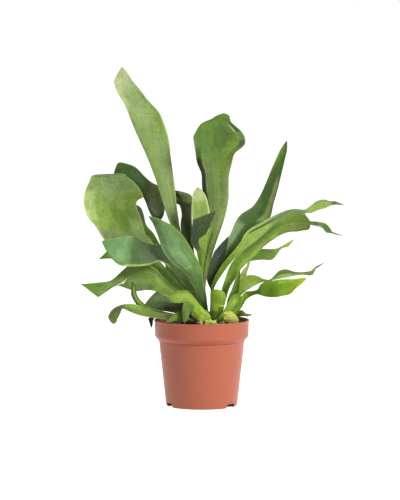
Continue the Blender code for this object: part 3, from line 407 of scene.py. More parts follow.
# Each frond: front colours from the foot to the tip, which on some fronds also hold painted
# shade where the frond lies in shadow, back colours, ruffle (height in mm, waves), whitish
# bloom, pale rim, and then
# rolls: rolled margins as (side, from, to, width in mm, turn in degrees), where side is
#   -1 for the left rail and a negative turn rolls towards the front;
# folds: parts bent back as (side, from, to, share, depth in mm), past that share of the
#   half width;
# patches: colour patches that paint shade and shadow where other fronds, folds and slits
#   darken a frond, and highlights where it catches the light, besides its own tints, as
#   (from, to, left, right, softness, colour, strength) and then, on a fork, the lobe. From
#   and to run along the frond from 0 to 1, left and right run across it from -1 to 1, and
#   the lobe is 1 for the first, -1 for the second and 0 for neither. A patch without a lobe
#   is on all of the frond.
LOOKS = {
    "tall_frond": dict(
        front=((115, 139, 73), (143, 162, 111), (120, 144, 79), (120, 151, 77), (170, 183, 149)),
        back=GREEN_UPPERSIDE, ruffle=(2.0, 2.5), bloom=0.15, rim=0.3,
        rolls=[(1, 0.35, 0.95, 2.0, 60), (-1, 0.5, 0.98, 1.6, 50)],
        light_shade_and_tint_patches=[(0.25, 0.64, 0.35, 1.1, 0.05, (151, 170, 115), 0.6),
                 (0.42, 0.82, -1.1, -0.86, 0.03, (99, 116, 75), 0.6),
                 (0.68, 0.83, 0.45, 1.1, 0.03, (134, 164, 77), 0.6),
                 (0.84, 0.99, -1.1, -0.62, 0.03, (181, 191, 164), 0.85),
                 (0.84, 0.90, -0.3, 0.4, 0.02, (107, 141, 93), 0.5),
                 (0.93, 1.10, -1.1, 1.1, 0.02, (180, 187, 166), 0.7)]),
    # The palest patch, by the left margin, is a painted highlight.
    "round_frond": dict(
        front=((104, 131, 78), (87, 116, 65), (129, 155, 90), (146, 174, 86), (150, 177, 125)),
        back=GREEN_UPPERSIDE, ruffle=(3.0, 3.0), bloom=0.12, rim=0.5,
        rolls=[(-1, 0.45, 0.98, 2.0, -70), (1, 0.86, 0.99, 2.0, -60)],
        light_shade_and_tint_patches=[(0.73, 0.90, -1.1, -0.72, 0.02, (198, 220, 161), 0.85),
                 (0.67, 0.79, -0.1, 0.75, 0.02, (113, 150, 50), 0.75),
                 (0.82, 0.90, 0.5, 1.1, 0.02, (150, 185, 42), 0.85),
                 (0.45, 0.73, 0.45, 1.1, 0.02, (164, 194, 132), 0.85),
                 (0.55, 0.67, -1.1, -0.3, 0.03, (133, 144, 122), 0.7),
                 (0.88, 1.00, -0.6, 0.3, 0.03, (146, 172, 132), 0.6)]),
    # Its dark colours are painted shade, as it lies in shadow behind the fronds before it; the thin
    # pale line is a painted highlight on its midrib.
    "narrow_frond": dict(
        front=((60, 82, 34), (50, 70, 30), (48, 66, 28), (56, 80, 30), (72, 96, 60)),
        back=PALE_UNDERSIDE, ruffle=(0.5, 2.0), bloom=0.0, rim=0.2,
        light_shade_and_tint_patches=[(0.62, 0.86, 0.1, 1.1, 0.02, (88, 120, 16), 0.9),
                 (0.64, 0.74, -0.2, 0.02, 0.01, (190, 200, 170), 0.7)]),
    # Its dark middle colours and patches are painted shade where the fronds in front shadow it, and the
    # paler tip patches are painted light where the tip faces up.
    "reaching_frond": dict(
        front=((100, 130, 60), (98, 124, 52), (64, 84, 56), (92, 132, 80), (92, 134, 66)),
        back=PALE_UNDERSIDE, ruffle=(2.2, 3.0), bloom=0.15, rim=0.4,
        rolls=[(-1, 0.35, 0.8, 1.8, -110)],
        light_shade_and_tint_patches=[(0.42, 0.62, -1.1, 1.1, 0.03, (66, 84, 66), 0.7),
                 (0.62, 0.742, -1.1, 1.1, 0.026, (62, 90, 44), 0.85),
                 (0.77, 0.95, -0.8, 1.1, 0.03, (106, 150, 112), 0.8),
                 (0.84, 0.96, 0.1, 0.8, 0.02, (96, 142, 84), 0.6),
                 (0.79, 0.86, -0.7, 0.1, 0.02, (128, 170, 134), 0.6),
                 (0.40, 0.80, -1.1, -0.9, 0.02, (170, 186, 122), 0.85),
                 (0.95, 1.10, -1.1, 1.1, 0.02, (90, 134, 66), 0.6)]),
    "front_frond": dict(
        front=((81, 117, 41), (85, 125, 52), (105, 147, 84), (107, 145, 100), (85, 127, 48)),
        back=PALE_UNDERSIDE, ruffle=(1.6, 2.0), bloom=0.15, rim=0.35,
        light_shade_and_tint_patches=[(0.42, 0.70, -0.6, 0.3, 0.03, (142, 179, 145), 0.85),
                 (0.66, 0.86, -0.3, 0.6, 0.03, (114, 153, 119), 0.75),
                 (0.35, 0.82, 0.6, 1.1, 0.03, (101, 137, 61), 0.7),
                 (0.10, 0.35, 0.3, 1.1, 0.03, (64, 96, 32), 0.7),
                 (0.45, 0.75, -1.1, -0.85, 0.02, (146, 179, 132), 0.6),
                 (0.90, 1.10, -1.1, 1.1, 0.03, (76, 117, 41), 0.85)]),
    # Its dark middle colours and the darkest patch on the first lobe are painted shade, where the frond
    # lies in shadow around its fork.
    "back_fork_frond": dict(
        front=((110, 138, 60), (64, 82, 39), (70, 86, 48), (112, 126, 96), (104, 142, 74)),
        back=PALE_UNDERSIDE, ruffle=(2.0, 2.5), bloom=0.05, rim=0.3,
        rolls=[(1, 0.3, 0.98, 1.6, -80)],
        light_shade_and_tint_patches=[(0.61, 0.70, -1.1, 1.1, 0.02, (92, 102, 78), 0.8, 1),
                 (0.70, 0.80, -0.6, 1.1, 0.02, (142, 148, 134), 0.75, 1),
                 (0.64, 0.78, -1.1, -0.7, 0.015, (58, 72, 44), 0.85, 1),
                 (0.66, 0.78, 0.75, 1.1, 0.02, (150, 156, 136), 0.7, 1),
                 (0.84, 0.93, -0.5, 0.6, 0.02, (122, 170, 130), 0.7, 1),
                 (0.93, 1.10, -1.1, 1.1, 0.02, (112, 150, 74), 0.8, 1),
                 (0.70, 0.92, -1.1, 1.1, 0.02, (154, 162, 126), 0.8, -1),
                 (0.93, 1.10, -1.1, 1.1, 0.01, (200, 208, 176), 0.9, -1)]),
    # The dark patches on the first lobe are painted shade; that lobe lies in shadow.
    "folded_frond": dict(
        front=((120, 150, 50), (140, 172, 66), (124, 158, 50), (122, 152, 62), (176, 184, 146)),
        back=GREEN_UPPERSIDE, ruffle=(0.8, 1.5), bloom=0.1, rim=0.3,
        light_shade_and_tint_patches=[(0.44, 0.62, -1.1, 0.0, 0.02, (92, 124, 12), 0.85, 0),
                 (0.62, 0.92, -1.1, 1.1, 0.02, (124, 158, 42), 0.8, -1),
                 (0.93, 1.10, -1.1, 1.1, 0.03, (178, 186, 152), 0.9, -1),
                 (0.72, 0.98, 0.84, 1.1, 0.01, (196, 210, 148), 0.9, -1),
                 (0.70, 0.96, -1.1, -0.8, 0.01, (160, 182, 104), 0.6, -1),
                 (0.605, 1.1, -1.1, 1.1, 0.01, (72, 92, 56), 0.95, 1),
                 (0.66, 0.86, -1.1, -0.3, 0.03, (66, 80, 76), 0.7, 1)]),
    # The near-black patches on the folded-back margins are painted shade.
    "paddle_frond": dict(
        front=((93, 120, 45), (115, 137, 65), (103, 126, 51), (91, 122, 36), (84, 118, 26)),
        back=PALE_UNDERSIDE, ruffle=(1.6, 2.5), bloom=0.05, rim=0.2,
        folds=[(-1, 0.50, 0.82, 0.72, 14.0), (1, 0.83, 0.96, 0.78, 12.0)],
        light_shade_and_tint_patches=[(0.16, 0.42, -0.32, 0.06, 0.02, (71, 93, 26), 0.9),
                 (0.20, 0.48, -1.1, -0.42, 0.02, (127, 158, 58), 0.85),
                 (0.16, 0.52, 0.3, 0.8, 0.03, (132, 149, 85), 0.8),
                 (0.46, 0.74, 0.78, 1.1, 0.03, (135, 149, 97), 0.75),
                 (0.46, 0.74, -0.6, -0.1, 0.03, (76, 101, 36), 0.75),
                 (0.53, 0.77, -1.1, -0.72, 0.01, (32, 47, 26), 0.95),
                 (0.54, 0.66, -1.1, -0.62, 0.01, (29, 43, 26), 0.95),
                 (0.60, 0.80, -0.70, -0.58, 0.01, (107, 125, 78), 0.8),
                 (0.78, 0.95, -1.1, -0.3, 0.03, (80, 117, 38), 0.7),
                 (0.82, 0.93, -0.2, 0.55, 0.02, (69, 99, 22), 0.75),
                 (0.76, 0.86, 0.35, 0.75, 0.02, (118, 142, 50), 0.6),
                 (0.95, 1.10, -0.4, 0.4, 0.01, (95, 127, 27), 0.6),
                 (0.825, 0.875, 0.80, 1.1, 0.008, (46, 68, 35), 0.95),
                 (0.902, 0.95, 0.74, 1.1, 0.006, (51, 72, 42), 0.95),
                 (0.902, 0.935, 0.66, 0.74, 0.005, (160, 176, 121), 0.8)]),
    # The pale patches are painted highlights where the blade faces the light, and the dark ones painted
    # shade where it turns away.
    "spear_frond": dict(
        front=((82, 110, 48), (90, 120, 56), (73, 100, 44), (88, 120, 56), (86, 110, 48)),
        back=PALE_UNDERSIDE, ruffle=(1.5, 2.5), bloom=0.05, rim=0.2,
        light_shade_and_tint_patches=[(0.20, 0.50, -1.1, -0.1, 0.03, (127, 162, 129), 0.85),
                 (0.28, 0.56, 0.1, 1.1, 0.03, (59, 89, 36), 0.85),
                 (0.56, 0.80, 0.25, 0.86, 0.03, (145, 165, 117), 0.85),
                 (0.52, 0.88, -1.1, 0.05, 0.03, (65, 97, 40), 0.8),
                 (0.60, 0.84, 0.90, 1.1, 0.02, (110, 114, 73), 0.7),
                 (0.86, 0.97, -1.1, 1.1, 0.03, (90, 128, 27), 0.7)]),
    # Its dark colours and dark patch are painted shade: it lies in shadow behind the fronds in front of
    # it.
    "shaded_frond": dict(
        front=((66, 86, 50), (62, 78, 52), (60, 74, 62), (60, 76, 66), (56, 74, 52)),
        back=PALE_UNDERSIDE, ruffle=(0.6, 1.5), bloom=0.0, rim=0.1,
        light_shade_and_tint_patches=[(0.30, 1.10, 0.4, 1.1, 0.03, (44, 60, 34), 0.8)]),
    # The narrow dark patch is painted shade in a slit of the blade.
    "fork_frond": dict(
        front=((114, 147, 28), (150, 178, 76), (103, 130, 84), (142, 167, 74), (104, 126, 78)),
        back=GREEN_UPPERSIDE, ruffle=(1.4, 4.0), bloom=0.05, rim=0.4,
        light_shade_and_tint_patches=[(0.05, 0.25, -1.1, 1.1, 0.03, (125, 163, 33), 0.8, 0),
                 (0.29, 0.46, -0.5, 1.1, 0.03, (158, 184, 100), 0.7, 0),
                 (0.36, 0.50, -0.74, -0.48, 0.012, (59, 85, 30), 0.9, 0),
                 (0.33, 0.50, -1.1, -0.76, 0.02, (167, 194, 128), 0.85, 0),
                 (0.47, 0.62, -1.1, 1.1, 0.03, (104, 132, 97), 0.85, 0),
                 (0.64, 0.86, -1.1, 1.1, 0.02, (133, 161, 80), 0.8, 1),
                 (0.70, 0.95, -1.1, -0.6, 0.02, (97, 128, 45), 0.7, 1),
                 (0.88, 1.10, -1.1, 1.1, 0.02, (84, 103, 61), 0.85, 1),
                 (0.62, 0.76, -1.1, 1.1, 0.02, (86, 111, 50), 0.85, -1),
                 (0.77, 0.89, -1.1, 1.1, 0.02, (80, 128, 58), 0.85, -1),
                 (0.90, 1.10, -1.1, 1.1, 0.02, (57, 78, 37), 0.8, -1)]),
    "spoon_frond": dict(
        front=((93, 126, 16), (110, 148, 28), (118, 154, 42), (124, 156, 48), (132, 156, 75)),
        back=GREEN_UPPERSIDE, ruffle=(1.6, 3.0), bloom=0.05, rim=0.4,
        light_shade_and_tint_patches=[(0.12, 0.36, -1.1, 0.0, 0.03, (144, 189, 70), 0.7),
                 (0.34, 0.76, 0.35, 1.1, 0.03, (158, 189, 87), 0.85),
                 (0.46, 0.78, -1.1, -0.2, 0.03, (86, 119, 36), 0.85),
                 (0.78, 1.00, 0.1, 0.9, 0.03, (149, 173, 97), 0.75),
                 (0.80, 0.93, -1.1, -0.5, 0.03, (134, 166, 47), 0.6),
                 (0.97, 1.10, -1.1, 1.1, 0.02, (122, 146, 48), 0.6)]),
    "short_right_frond": dict(
        front=((120, 154, 46), (113, 144, 48), (105, 138, 46), (96, 129, 44), (165, 182, 79)),
        back=PALE_UNDERSIDE, ruffle=(1.2, 3.0), bloom=0.05, rim=0.4,
        light_shade_and_tint_patches=[(0.58, 0.86, -1.1, -0.7, 0.03, (128, 146, 92), 0.75),
                 (0.56, 0.70, -1.1, 1.1, 0.03, (86, 119, 35), 0.6),
                 (0.87, 1.10, -1.1, 1.1, 0.02, (147, 171, 44), 0.85)]),
    "wavy_frond": dict(
        front=((111, 142, 32), (124, 154, 44), (92, 119, 46), (103, 129, 55), (71, 92, 44)),
        back=PALE_UNDERSIDE, ruffle=(1.8, 4.0), bloom=0.05, rim=0.4,
        light_shade_and_tint_patches=[(0.49, 0.72, -1.1, 0.0, 0.02, (70, 102, 30), 0.9),
                 (0.48, 0.80, 0.1, 1.1, 0.02, (141, 165, 88), 0.85),
                 (0.26, 0.40, -1.1, -0.2, 0.03, (133, 156, 33), 0.75),
                 (0.20, 0.36, 0.2, 1.1, 0.03, (141, 163, 84), 0.7),
                 (0.85, 0.92, -1.1, 1.1, 0.02, (126, 146, 55), 0.6)]),
    "bright_frond": dict(
        front=((147, 190, 20), (132, 168, 26), (116, 156, 18), (142, 186, 32), (193, 221, 18)),
        back=PALE_UNDERSIDE, ruffle=(1.4, 3.0), bloom=0.0, rim=0.3,
        light_shade_and_tint_patches=[(0.10, 0.29, -0.6, 0.6, 0.02, (176, 228, 39), 0.7),
                 (0.33, 0.46, -1.1, 1.1, 0.05, (84, 121, 24), 0.8),
                 (0.52, 0.66, -0.4, 1.1, 0.06, (98, 137, 8), 0.7),
                 (0.70, 0.86, 0.2, 1.1, 0.05, (178, 216, 60), 0.7),
                 (0.68, 0.84, -1.1, -0.5, 0.02, (183, 223, 72), 0.6),
                 (0.90, 1.10, -1.1, 1.1, 0.02, (195, 226, 11), 0.9)]),
    # The dark patch over its right half is painted shade on the shaded side of its fold.
    "upright_young_frond": dict(
        front=((96, 129, 21), (100, 134, 28), (94, 129, 28), (92, 125, 25), (134, 163, 49)),
        back=GREEN_UPPERSIDE, ruffle=(0.6, 1.5), bloom=0.0, rim=0.4,
        light_shade_and_tint_patches=[(0.35, 0.96, -1.1, -0.1, 0.03, (96, 136, 36), 0.85),
                 (0.25, 0.98, 0.05, 1.1, 0.03, (63, 92, 17), 0.85)]),
    "pale_young_frond": dict(
        front=((116, 146, 52), (120, 152, 56), (150, 180, 76), (194, 212, 124), (214, 220, 170)),
        back=GREEN_UPPERSIDE, ruffle=(0.4, 1.5), bloom=0.0, rim=0.4,
        rolls=[(-1, 0.4, 1.0, 1.6, -120)],
        light_shade_and_tint_patches=[(0.60, 0.82, -1.1, 0.4, 0.03, (196, 220, 132), 0.8)]),
    # The pale patch near the foot is a painted highlight.
    "arch_frond": dict(
        front=((173, 198, 84), (164, 196, 59), (148, 181, 49), (138, 168, 59), (121, 147, 64)),
        back=GREEN_UPPERSIDE, ruffle=(1.8, 3.0), bloom=0.05, rim=0.4,
        light_shade_and_tint_patches=[(0.10, 0.36, -1.1, 0.6, 0.04, (171, 198, 90), 0.7, 0),
                 (0.22, 0.50, -0.1, 0.15, 0.02, (105, 140, 28), 0.6, 0),
                 (0.05, 0.30, 0.55, 1.1, 0.03, (111, 145, 35), 0.6, 0),
                 (0.44, 0.60, -1.1, -0.6, 0.02, (102, 132, 31), 0.6, 0),
                 (0.605, 1.1, -1.1, 1.1, 0.02, (84, 119, 41), 0.9, 1),
                 (0.66, 1.1, 0.55, 1.1, 0.02, (124, 154, 76), 0.7, 1),
                 (0.605, 1.1, -1.1, 1.1, 0.02, (143, 173, 67), 0.8, -1),
                 (0.70, 1.0, 0.5, 1.1, 0.02, (94, 126, 32), 0.6, -1)]),
    # The dark patch along its right rail is a painted shadow of the reaching frond above it.
    "wide_left_frond": dict(
        front=((160, 186, 100), (120, 148, 62), (90, 122, 24), (108, 132, 66), (90, 126, 22)),
        back=PALE_UNDERSIDE, ruffle=(1.4, 3.0), bloom=0.05, rim=0.4,
        light_shade_and_tint_patches=[(0.12, 0.40, 0.0, 0.5, 0.03, (156, 180, 88), 0.7, 0),
                 (0.16, 0.34, 0.6, 1.1, 0.03, (120, 150, 70), 0.6, 0),
                 (0.30, 0.60, 0.7, 1.1, 0.03, (72, 102, 20), 0.75, 0),
                 (0.40, 0.56, -1.1, -0.5, 0.03, (68, 98, 14), 0.75, 0),
                 (0.57, 0.62, 0.0, 1.1, 0.02, (104, 124, 70), 0.7, 0),
                 (0.605, 1.1, -1.1, 1.1, 0.02, (90, 106, 64), 0.85, 1),
                 (0.605, 0.70, -1.1, 1.1, 0.02, (104, 124, 70), 0.75, -1),
                 (0.605, 0.70, -1.1, -0.8, 0.02, (222, 232, 180), 0.9, -1),
                 (0.855, 1.1, -1.1, 1.1, 0.012, (84, 124, 12), 0.95, -1)]),
    "tip_frond": dict(
        front=((108, 142, 40), (108, 142, 40), (113, 149, 34), (103, 146, 10), (101, 144, 4)),
        back=PALE_UNDERSIDE, ruffle=(0.8, 2.0), bloom=0.0, rim=0.2),
    "hook_frond": dict(
        front=((83, 106, 34), (89, 114, 39), (93, 120, 39), (89, 118, 36), (81, 106, 34)),
        back=PALE_UNDERSIDE, ruffle=(0.5, 2.0), bloom=0.05, rim=0.3,
        light_shade_and_tint_patches=[(0.45, 0.95, -0.2, 0.6, 0.03, (138, 169, 66), 0.85),
                 (0.55, 1.10, -1.1, -0.4, 0.02, (50, 73, 20), 0.8)]),
    "low_left_frond": dict(
        front=((58, 74, 31), (83, 102, 41), (109, 137, 48), (95, 106, 58), (95, 125, 19)),
        back=PALE_UNDERSIDE, ruffle=(0.8, 2.5), bloom=0.05, rim=0.4,
        light_shade_and_tint_patches=[(0.55, 0.74, 0.0, 1.1, 0.03, (130, 165, 48), 0.75),
                 (0.30, 0.50, 0.0, 0.7, 0.03, (122, 143, 71), 0.7),
                 (0.77, 0.86, -1.1, 1.1, 0.02, (78, 86, 53), 0.8),
                 (0.86, 0.96, 0.0, 1.1, 0.02, (64, 84, 37), 0.7)]),
    "rim_leaf": dict(
        front=((72, 94, 26), (89, 116, 31), (99, 127, 29), (109, 137, 36), (120, 147, 51)),
        back=PALE_UNDERSIDE, ruffle=(0.4, 1.5), bloom=0.05, rim=0.4),
    # Its dark colours and dark patch are painted shade: the blade lies in shadow under the fronds above
    # it.
    "grey_frond": dict(
        front=((45, 55, 32), (58, 70, 45), (82, 95, 75), (112, 135, 95), (105, 130, 72)),
        back=GREEN_UPPERSIDE, ruffle=(1.0, 2.0), bloom=0.05, rim=0.1,
        light_shade_and_tint_patches=[(0.45, 0.80, 0.1, 0.8, 0.04, (140, 158, 135), 0.7),
                 (0.20, 0.60, -1.1, -0.4, 0.03, (45, 55, 30), 0.8)]),
    "young_shield_frond": dict(
        front=((103, 132, 7), (105, 134, 7), (112, 144, 11), (120, 152, 15), (136, 170, 37)),
        back=GREEN_UPPERSIDE, ruffle=(0.6, 1.5), bloom=0.0, rim=0.3,
        light_shade_and_tint_patches=[(0.30, 0.62, 0.0, 0.6, 0.04, (76, 101, 3), 0.7),
                 (0.48, 0.66, -0.9, 0.2, 0.02, (164, 198, 66), 0.6),
                 (0.60, 0.64, 0.2, 1.1, 0.01, (208, 237, 105), 0.7)]),
    "crown_frond": dict(
        front=((160, 175, 62), (149, 181, 63), (140, 177, 59), (115, 156, 35), (103, 139, 28)),
        back=GREEN_UPPERSIDE, ruffle=(0.5, 1.5), bloom=0.05, rim=0.4,
        light_shade_and_tint_patches=[(0.45, 0.85, -0.5, 0.2, 0.04, (164, 194, 84), 0.7),
                 (0.55, 1.10, 0.4, 1.1, 0.03, (89, 133, 18), 0.8)]),
    "right_rim_leaf": dict(
        front=((93, 122, 14), (89, 116, 12), (97, 122, 20), (130, 143, 65), (159, 165, 99)),
        back=PALE_UNDERSIDE, ruffle=(0.5, 1.5), bloom=0.0, rim=0.4),
    "papery_shield_frond": dict(
        front=((176, 128, 98), (196, 156, 112), (186, 180, 96), (200, 206, 110), (196, 212, 104)),
        back=((150, 116, 70), (156, 124, 72), (150, 134, 66), (170, 164, 88), (180, 190, 88)),
        ruffle=(1.6, 3.0), bloom=0.0, rim=0.3, stripes=True),
    "withered_leaf": dict(front=WITHERED, back=WITHERED, ruffle=(0.8, 2.0), bloom=0.0, rim=0.0),
}
for name, ruffle_size in (("rear_left_frond", (1.6, 2.5)), ("back_frond", (1.2, 2.0)),
                          ("low_back_frond", (1.0, 2.0)), ("rear_right_frond", (1.5, 3.0))):
    LOOKS[name] = dict(front=DEEP, back=GREEN_UPPERSIDE, ruffle=ruffle_size, bloom=0.2, rim=0.4)


# ---- Frond surfaces ----

def place(x, z, depth):
    """A point of the front elevation, moved along its line of sight to a depth."""
    scale = 1 + depth / EYE_DISTANCE
    return [x * scale, depth, EYE_HEIGHT + (z - EYE_HEIGHT) * scale]


def slide_back(points, depth):
    """Moves points back along their lines of sight, which keeps the front outline."""
    scale = (1 + depth / EYE_DISTANCE)[..., None]
    moved = points * scale
    moved[..., 1] = points[..., 1] + depth
    moved[..., 2] = EYE_HEIGHT + (points[..., 2] - EYE_HEIGHT) * scale[..., 0]
    return moved


def station_row(station):
    """The left and right rail points of a station, as one row of six numbers."""
    left_x, left_z, right_x, right_z, depth, twist = station
    return place(left_x, left_z, depth - twist / 2) + place(right_x, right_z, depth + twist / 2)


def smooth_rows(points, rows):
    """Rows spread evenly along a cubic curve through the given rows."""
    points = np.array(points, dtype=float)
    gaps = np.linalg.norm(np.diff(points, axis=0), axis=1)
    knots = np.concatenate([[0.0], np.cumsum(gaps)])
    slopes = np.diff(points, axis=0) / gaps[:, None]
    tangents = np.concatenate([slopes[:1], slopes[-1:]])
    if len(points) > 2:
        share = (gaps[1:] / (gaps[:-1] + gaps[1:]))[:, None]
        inner = slopes[:-1] * share + slopes[1:] * (1 - share)
        tangents = np.concatenate([slopes[:1], inner, slopes[-1:]])
    at = np.linspace(0, knots[-1], rows + 1)
    piece = np.clip(np.searchsorted(knots, at, side="right") - 1, 0, len(gaps) - 1)
    width = gaps[piece][:, None]
    s = (at - knots[piece])[:, None] / width
    near = (2 * s**3 - 3 * s**2 + 1) * points[piece] + (s**3 - 2 * s**2 + s) * width * tangents[piece]
    far = (3 * s**2 - 2 * s**3) * points[piece + 1] + (s**3 - s**2) * width * tangents[piece + 1]
    return near + far


def end_rows(last, tip, blunt, rows):
    """Rows of a frond's end, from its last full row to the tip, as half a superellipse."""
    left, right = last[:3], last[3:]
    centre, half = (left + right) / 2, (right - left) / 2
    made = []
    for i in range(1, rows + 1):
        angle = math.pi / 2 * i / rows
        along = math.sin(angle) ** (2 / blunt)
        across = max(math.cos(angle), 0.0) ** (2 / blunt)
        middle = centre + (np.array(place(*tip)) - centre) * along
        side = half * max(across, SHARPEST_END)
        made.append(np.concatenate([middle - side, middle + side]))
    return np.array(made)


def outline_rows(part, rows, first=None):
    """All rows of a blade or lobe; first is the row that a lobe grows from."""
    points = [station_row(station) for station in part["stations"]]
    if first is not None:
        points.insert(0, first)
    body = smooth_rows(points, rows)
    if "tip" not in part:
        return body
    return np.concatenate([body, end_rows(body[-1], part["tip"], part["blunt"], TIP_ROWS)])


def with_foot(rows):
    """Adds rows that carry a frond's foot down into the crown."""
    down = rows[0] - rows[1]
    down = down / np.linalg.norm(down[:3]) * FOOT_DEPTH
    down[[2, 5]] = -abs(down[[2, 5]]) - FOOT_DROP
    return np.concatenate([[rows[0] + down, rows[0] + down / 2], rows])


def lengths_along(rows):
    """The running length of the middle line, in millimetres."""
    centre = (rows[:, :3] + rows[:, 3:]) / 2
    steps = np.linalg.norm(np.diff(centre, axis=0), axis=1)
    return np.concatenate([[0.0], np.cumsum(steps)])


def window(values, low, high):
    """A smooth hump between low and high."""
    inside = np.clip((values - low) / (high - low), 0, 1)
    return np.sin(np.pi * inside) ** HUMP_POWER


def pucker(points, seed):
    """Uneven swelling of the sheet, from -1 to 1, for points in millimetres."""
    flat = points.reshape(-1, 3) / PUCKER_SIZE
    shift = Vector([seed * part for part in PUCKER_SHIFT])
    swell = np.array([noise.noise(Vector(point) + shift) for point in flat])
    return swell.reshape(points.shape[:-1])


def ruffle(along, across, width, look, seed):
    """Waves of the margins, in millimetres from front to back."""
    height, waves = look["ruffle"]
    phase = np.where(across < 0, seed * LEFT_PHASE, seed * RIGHT_PHASE[0] + RIGHT_PHASE[1])
    swing = np.sin(2 * np.pi * waves * along[:, None] + phase[None, :])
    fade = np.clip(along / RUFFLE_START, 0, 1) * np.clip(width / RUFFLE_WIDTH, 0, 1)
    return height * fade[:, None] * np.abs(across[None, :]) ** RUFFLE_POWER * swing


def margin_roll(side, along, width, look):
    """The width of a margin's rolled flange, and how far it turns, for every row."""
    base_width, base_turn = MARGIN_ROLL
    roll_width = base_width * np.clip(width / FLANGE_WIDTH, FLANGE_LEAST, 1)
    turn = np.full(len(along), math.radians(base_turn))
    for roll_side, low, high, reach, degrees in look.get("rolls", []):
        if roll_side == side:
            hump = window(along, low, high)
            roll_width = roll_width + reach * hump
            turn = turn * (1 - hump) + math.radians(degrees) * hump
    turn = np.where(abs(turn) < LEAST_TURN, LEAST_TURN, turn)
    return roll_width, turn


def flange_reach(side, along, width, look):
    """How far a margin's flange stands out, so that the outline can make room for it."""
    roll_width, turn = margin_roll(side, along, width, look)
    reach = roll_width / abs(turn) * np.sin(np.minimum(abs(turn), math.pi / 2))
    return np.minimum(reach, width / 2)[:, None]


def flange_strip(side, edge, inner, normal, along, width, look):
    """The columns of a margin's rolled flange, from the blade's edge outwards."""
    outward = edge - inner
    outward /= np.linalg.norm(outward, axis=1)[:, None]
    back = normal - outward * np.sum(normal * outward, axis=1)[:, None]
    back /= np.linalg.norm(back, axis=1)[:, None]
    roll_width, turn = margin_roll(side, along, width, look)
    radius = roll_width / turn
    strip = []
    for k in range(1, FLANGE_COLUMNS + 1):
        angle = turn * k / FLANGE_COLUMNS
        strip.append(edge + outward * (radius * np.sin(angle))[:, None]
                     + back * (radius * (1 - np.cos(angle)))[:, None])
    return strip


def blade_points(rows, along, columns, frond, look, seed):
    """The sheet's points, with a rolled flange along each rail, and where each point lies
    across it, from -1 to 1."""
    left, right = rows[:, :3], rows[:, 3:]
    width = np.linalg.norm(right - left, axis=1) / 2
    outwards = (right - left) / 2 / width[:, None]
    left = left + outwards * flange_reach(-1, along, width, look)
    right = right - outwards * flange_reach(1, along, width, look)
    centre, half = (left + right) / 2, (right - left) / 2
    width = np.linalg.norm(half, axis=1)
    normal = np.cross(np.gradient(centre, axis=0), half)
    normal /= np.linalg.norm(normal, axis=1)[:, None]
    across = np.linspace(-1, 1, columns + 1)
    flat = centre[:, None] + half[:, None] * across[None, :, None]
    lift = frond["cup"] * width[:, None] * (1 - across[None, :] ** 2)
    lift += PUCKER * np.clip(width / PUCKER_WIDTH, 0, 1)[:, None] * pucker(flat, seed)
    wave = ruffle(along, across, width, look, seed)
    sheet = slide_back(flat + normal[:, None] * lift[:, :, None], wave * normal[:, 1:2])
    for side, low, high, share, depth in look.get("folds", []):
        past = np.clip((across * side - share) / (1 - share), 0, 1)
        back = depth * window(along, low, high)[:, None] * past[None, :]
        sheet = slide_back(sheet, back)
    left_strip = flange_strip(-1, sheet[:, 0], sheet[:, 1], normal, along, width, look)
    right_strip = flange_strip(1, sheet[:, -1], sheet[:, -2], normal, along, width, look)
    points = np.concatenate(
        [np.stack(left_strip[::-1], axis=1), sheet, np.stack(right_strip, axis=1)], axis=1)
    beyond = np.full(FLANGE_COLUMNS, FLANGE_PLACE)
    return points, np.concatenate([-beyond, across, beyond])


def thickness_share(side, along):
    """Thickness at a place of the blade: 1 in the middle of the foot, 0 where it's thinnest."""
    from_foot = min(along * FOOT_THINNING_RATE, 1)
    return max(1 - MARGIN_THINNING * abs(side) ** 3 - FOOT_THINNING * from_foot, 0.0)


def add_sheet(bm, layers, points, places, along, length, which=0, first=None):
    """Puts a grid of points into the mesh. first is a row of vertices to grow from."""
    blade, lobe, thick = layers
    rows = []
    for i, row in enumerate(points):
        if i == 0 and first is not None:
            rows.append(first)
            continue
        made = []
        for point, side in zip(row, places):
            vert = bm.verts.new(Vector(point) * MM)
            vert[blade] = Vector((side, along[i], length[i] * MM))
            vert[lobe] = which
            vert[thick][0] = thickness_share(side, along[i])
            made.append(vert)
        rows.append(made)
    for near, far in zip(rows, rows[1:]):
        for j in range(len(near) - 1):
            corners = [near[j], near[j + 1], far[j + 1], far[j]]
            bm.faces.new([v for k, v in enumerate(corners) if v is not corners[k - 1]])
    return rows


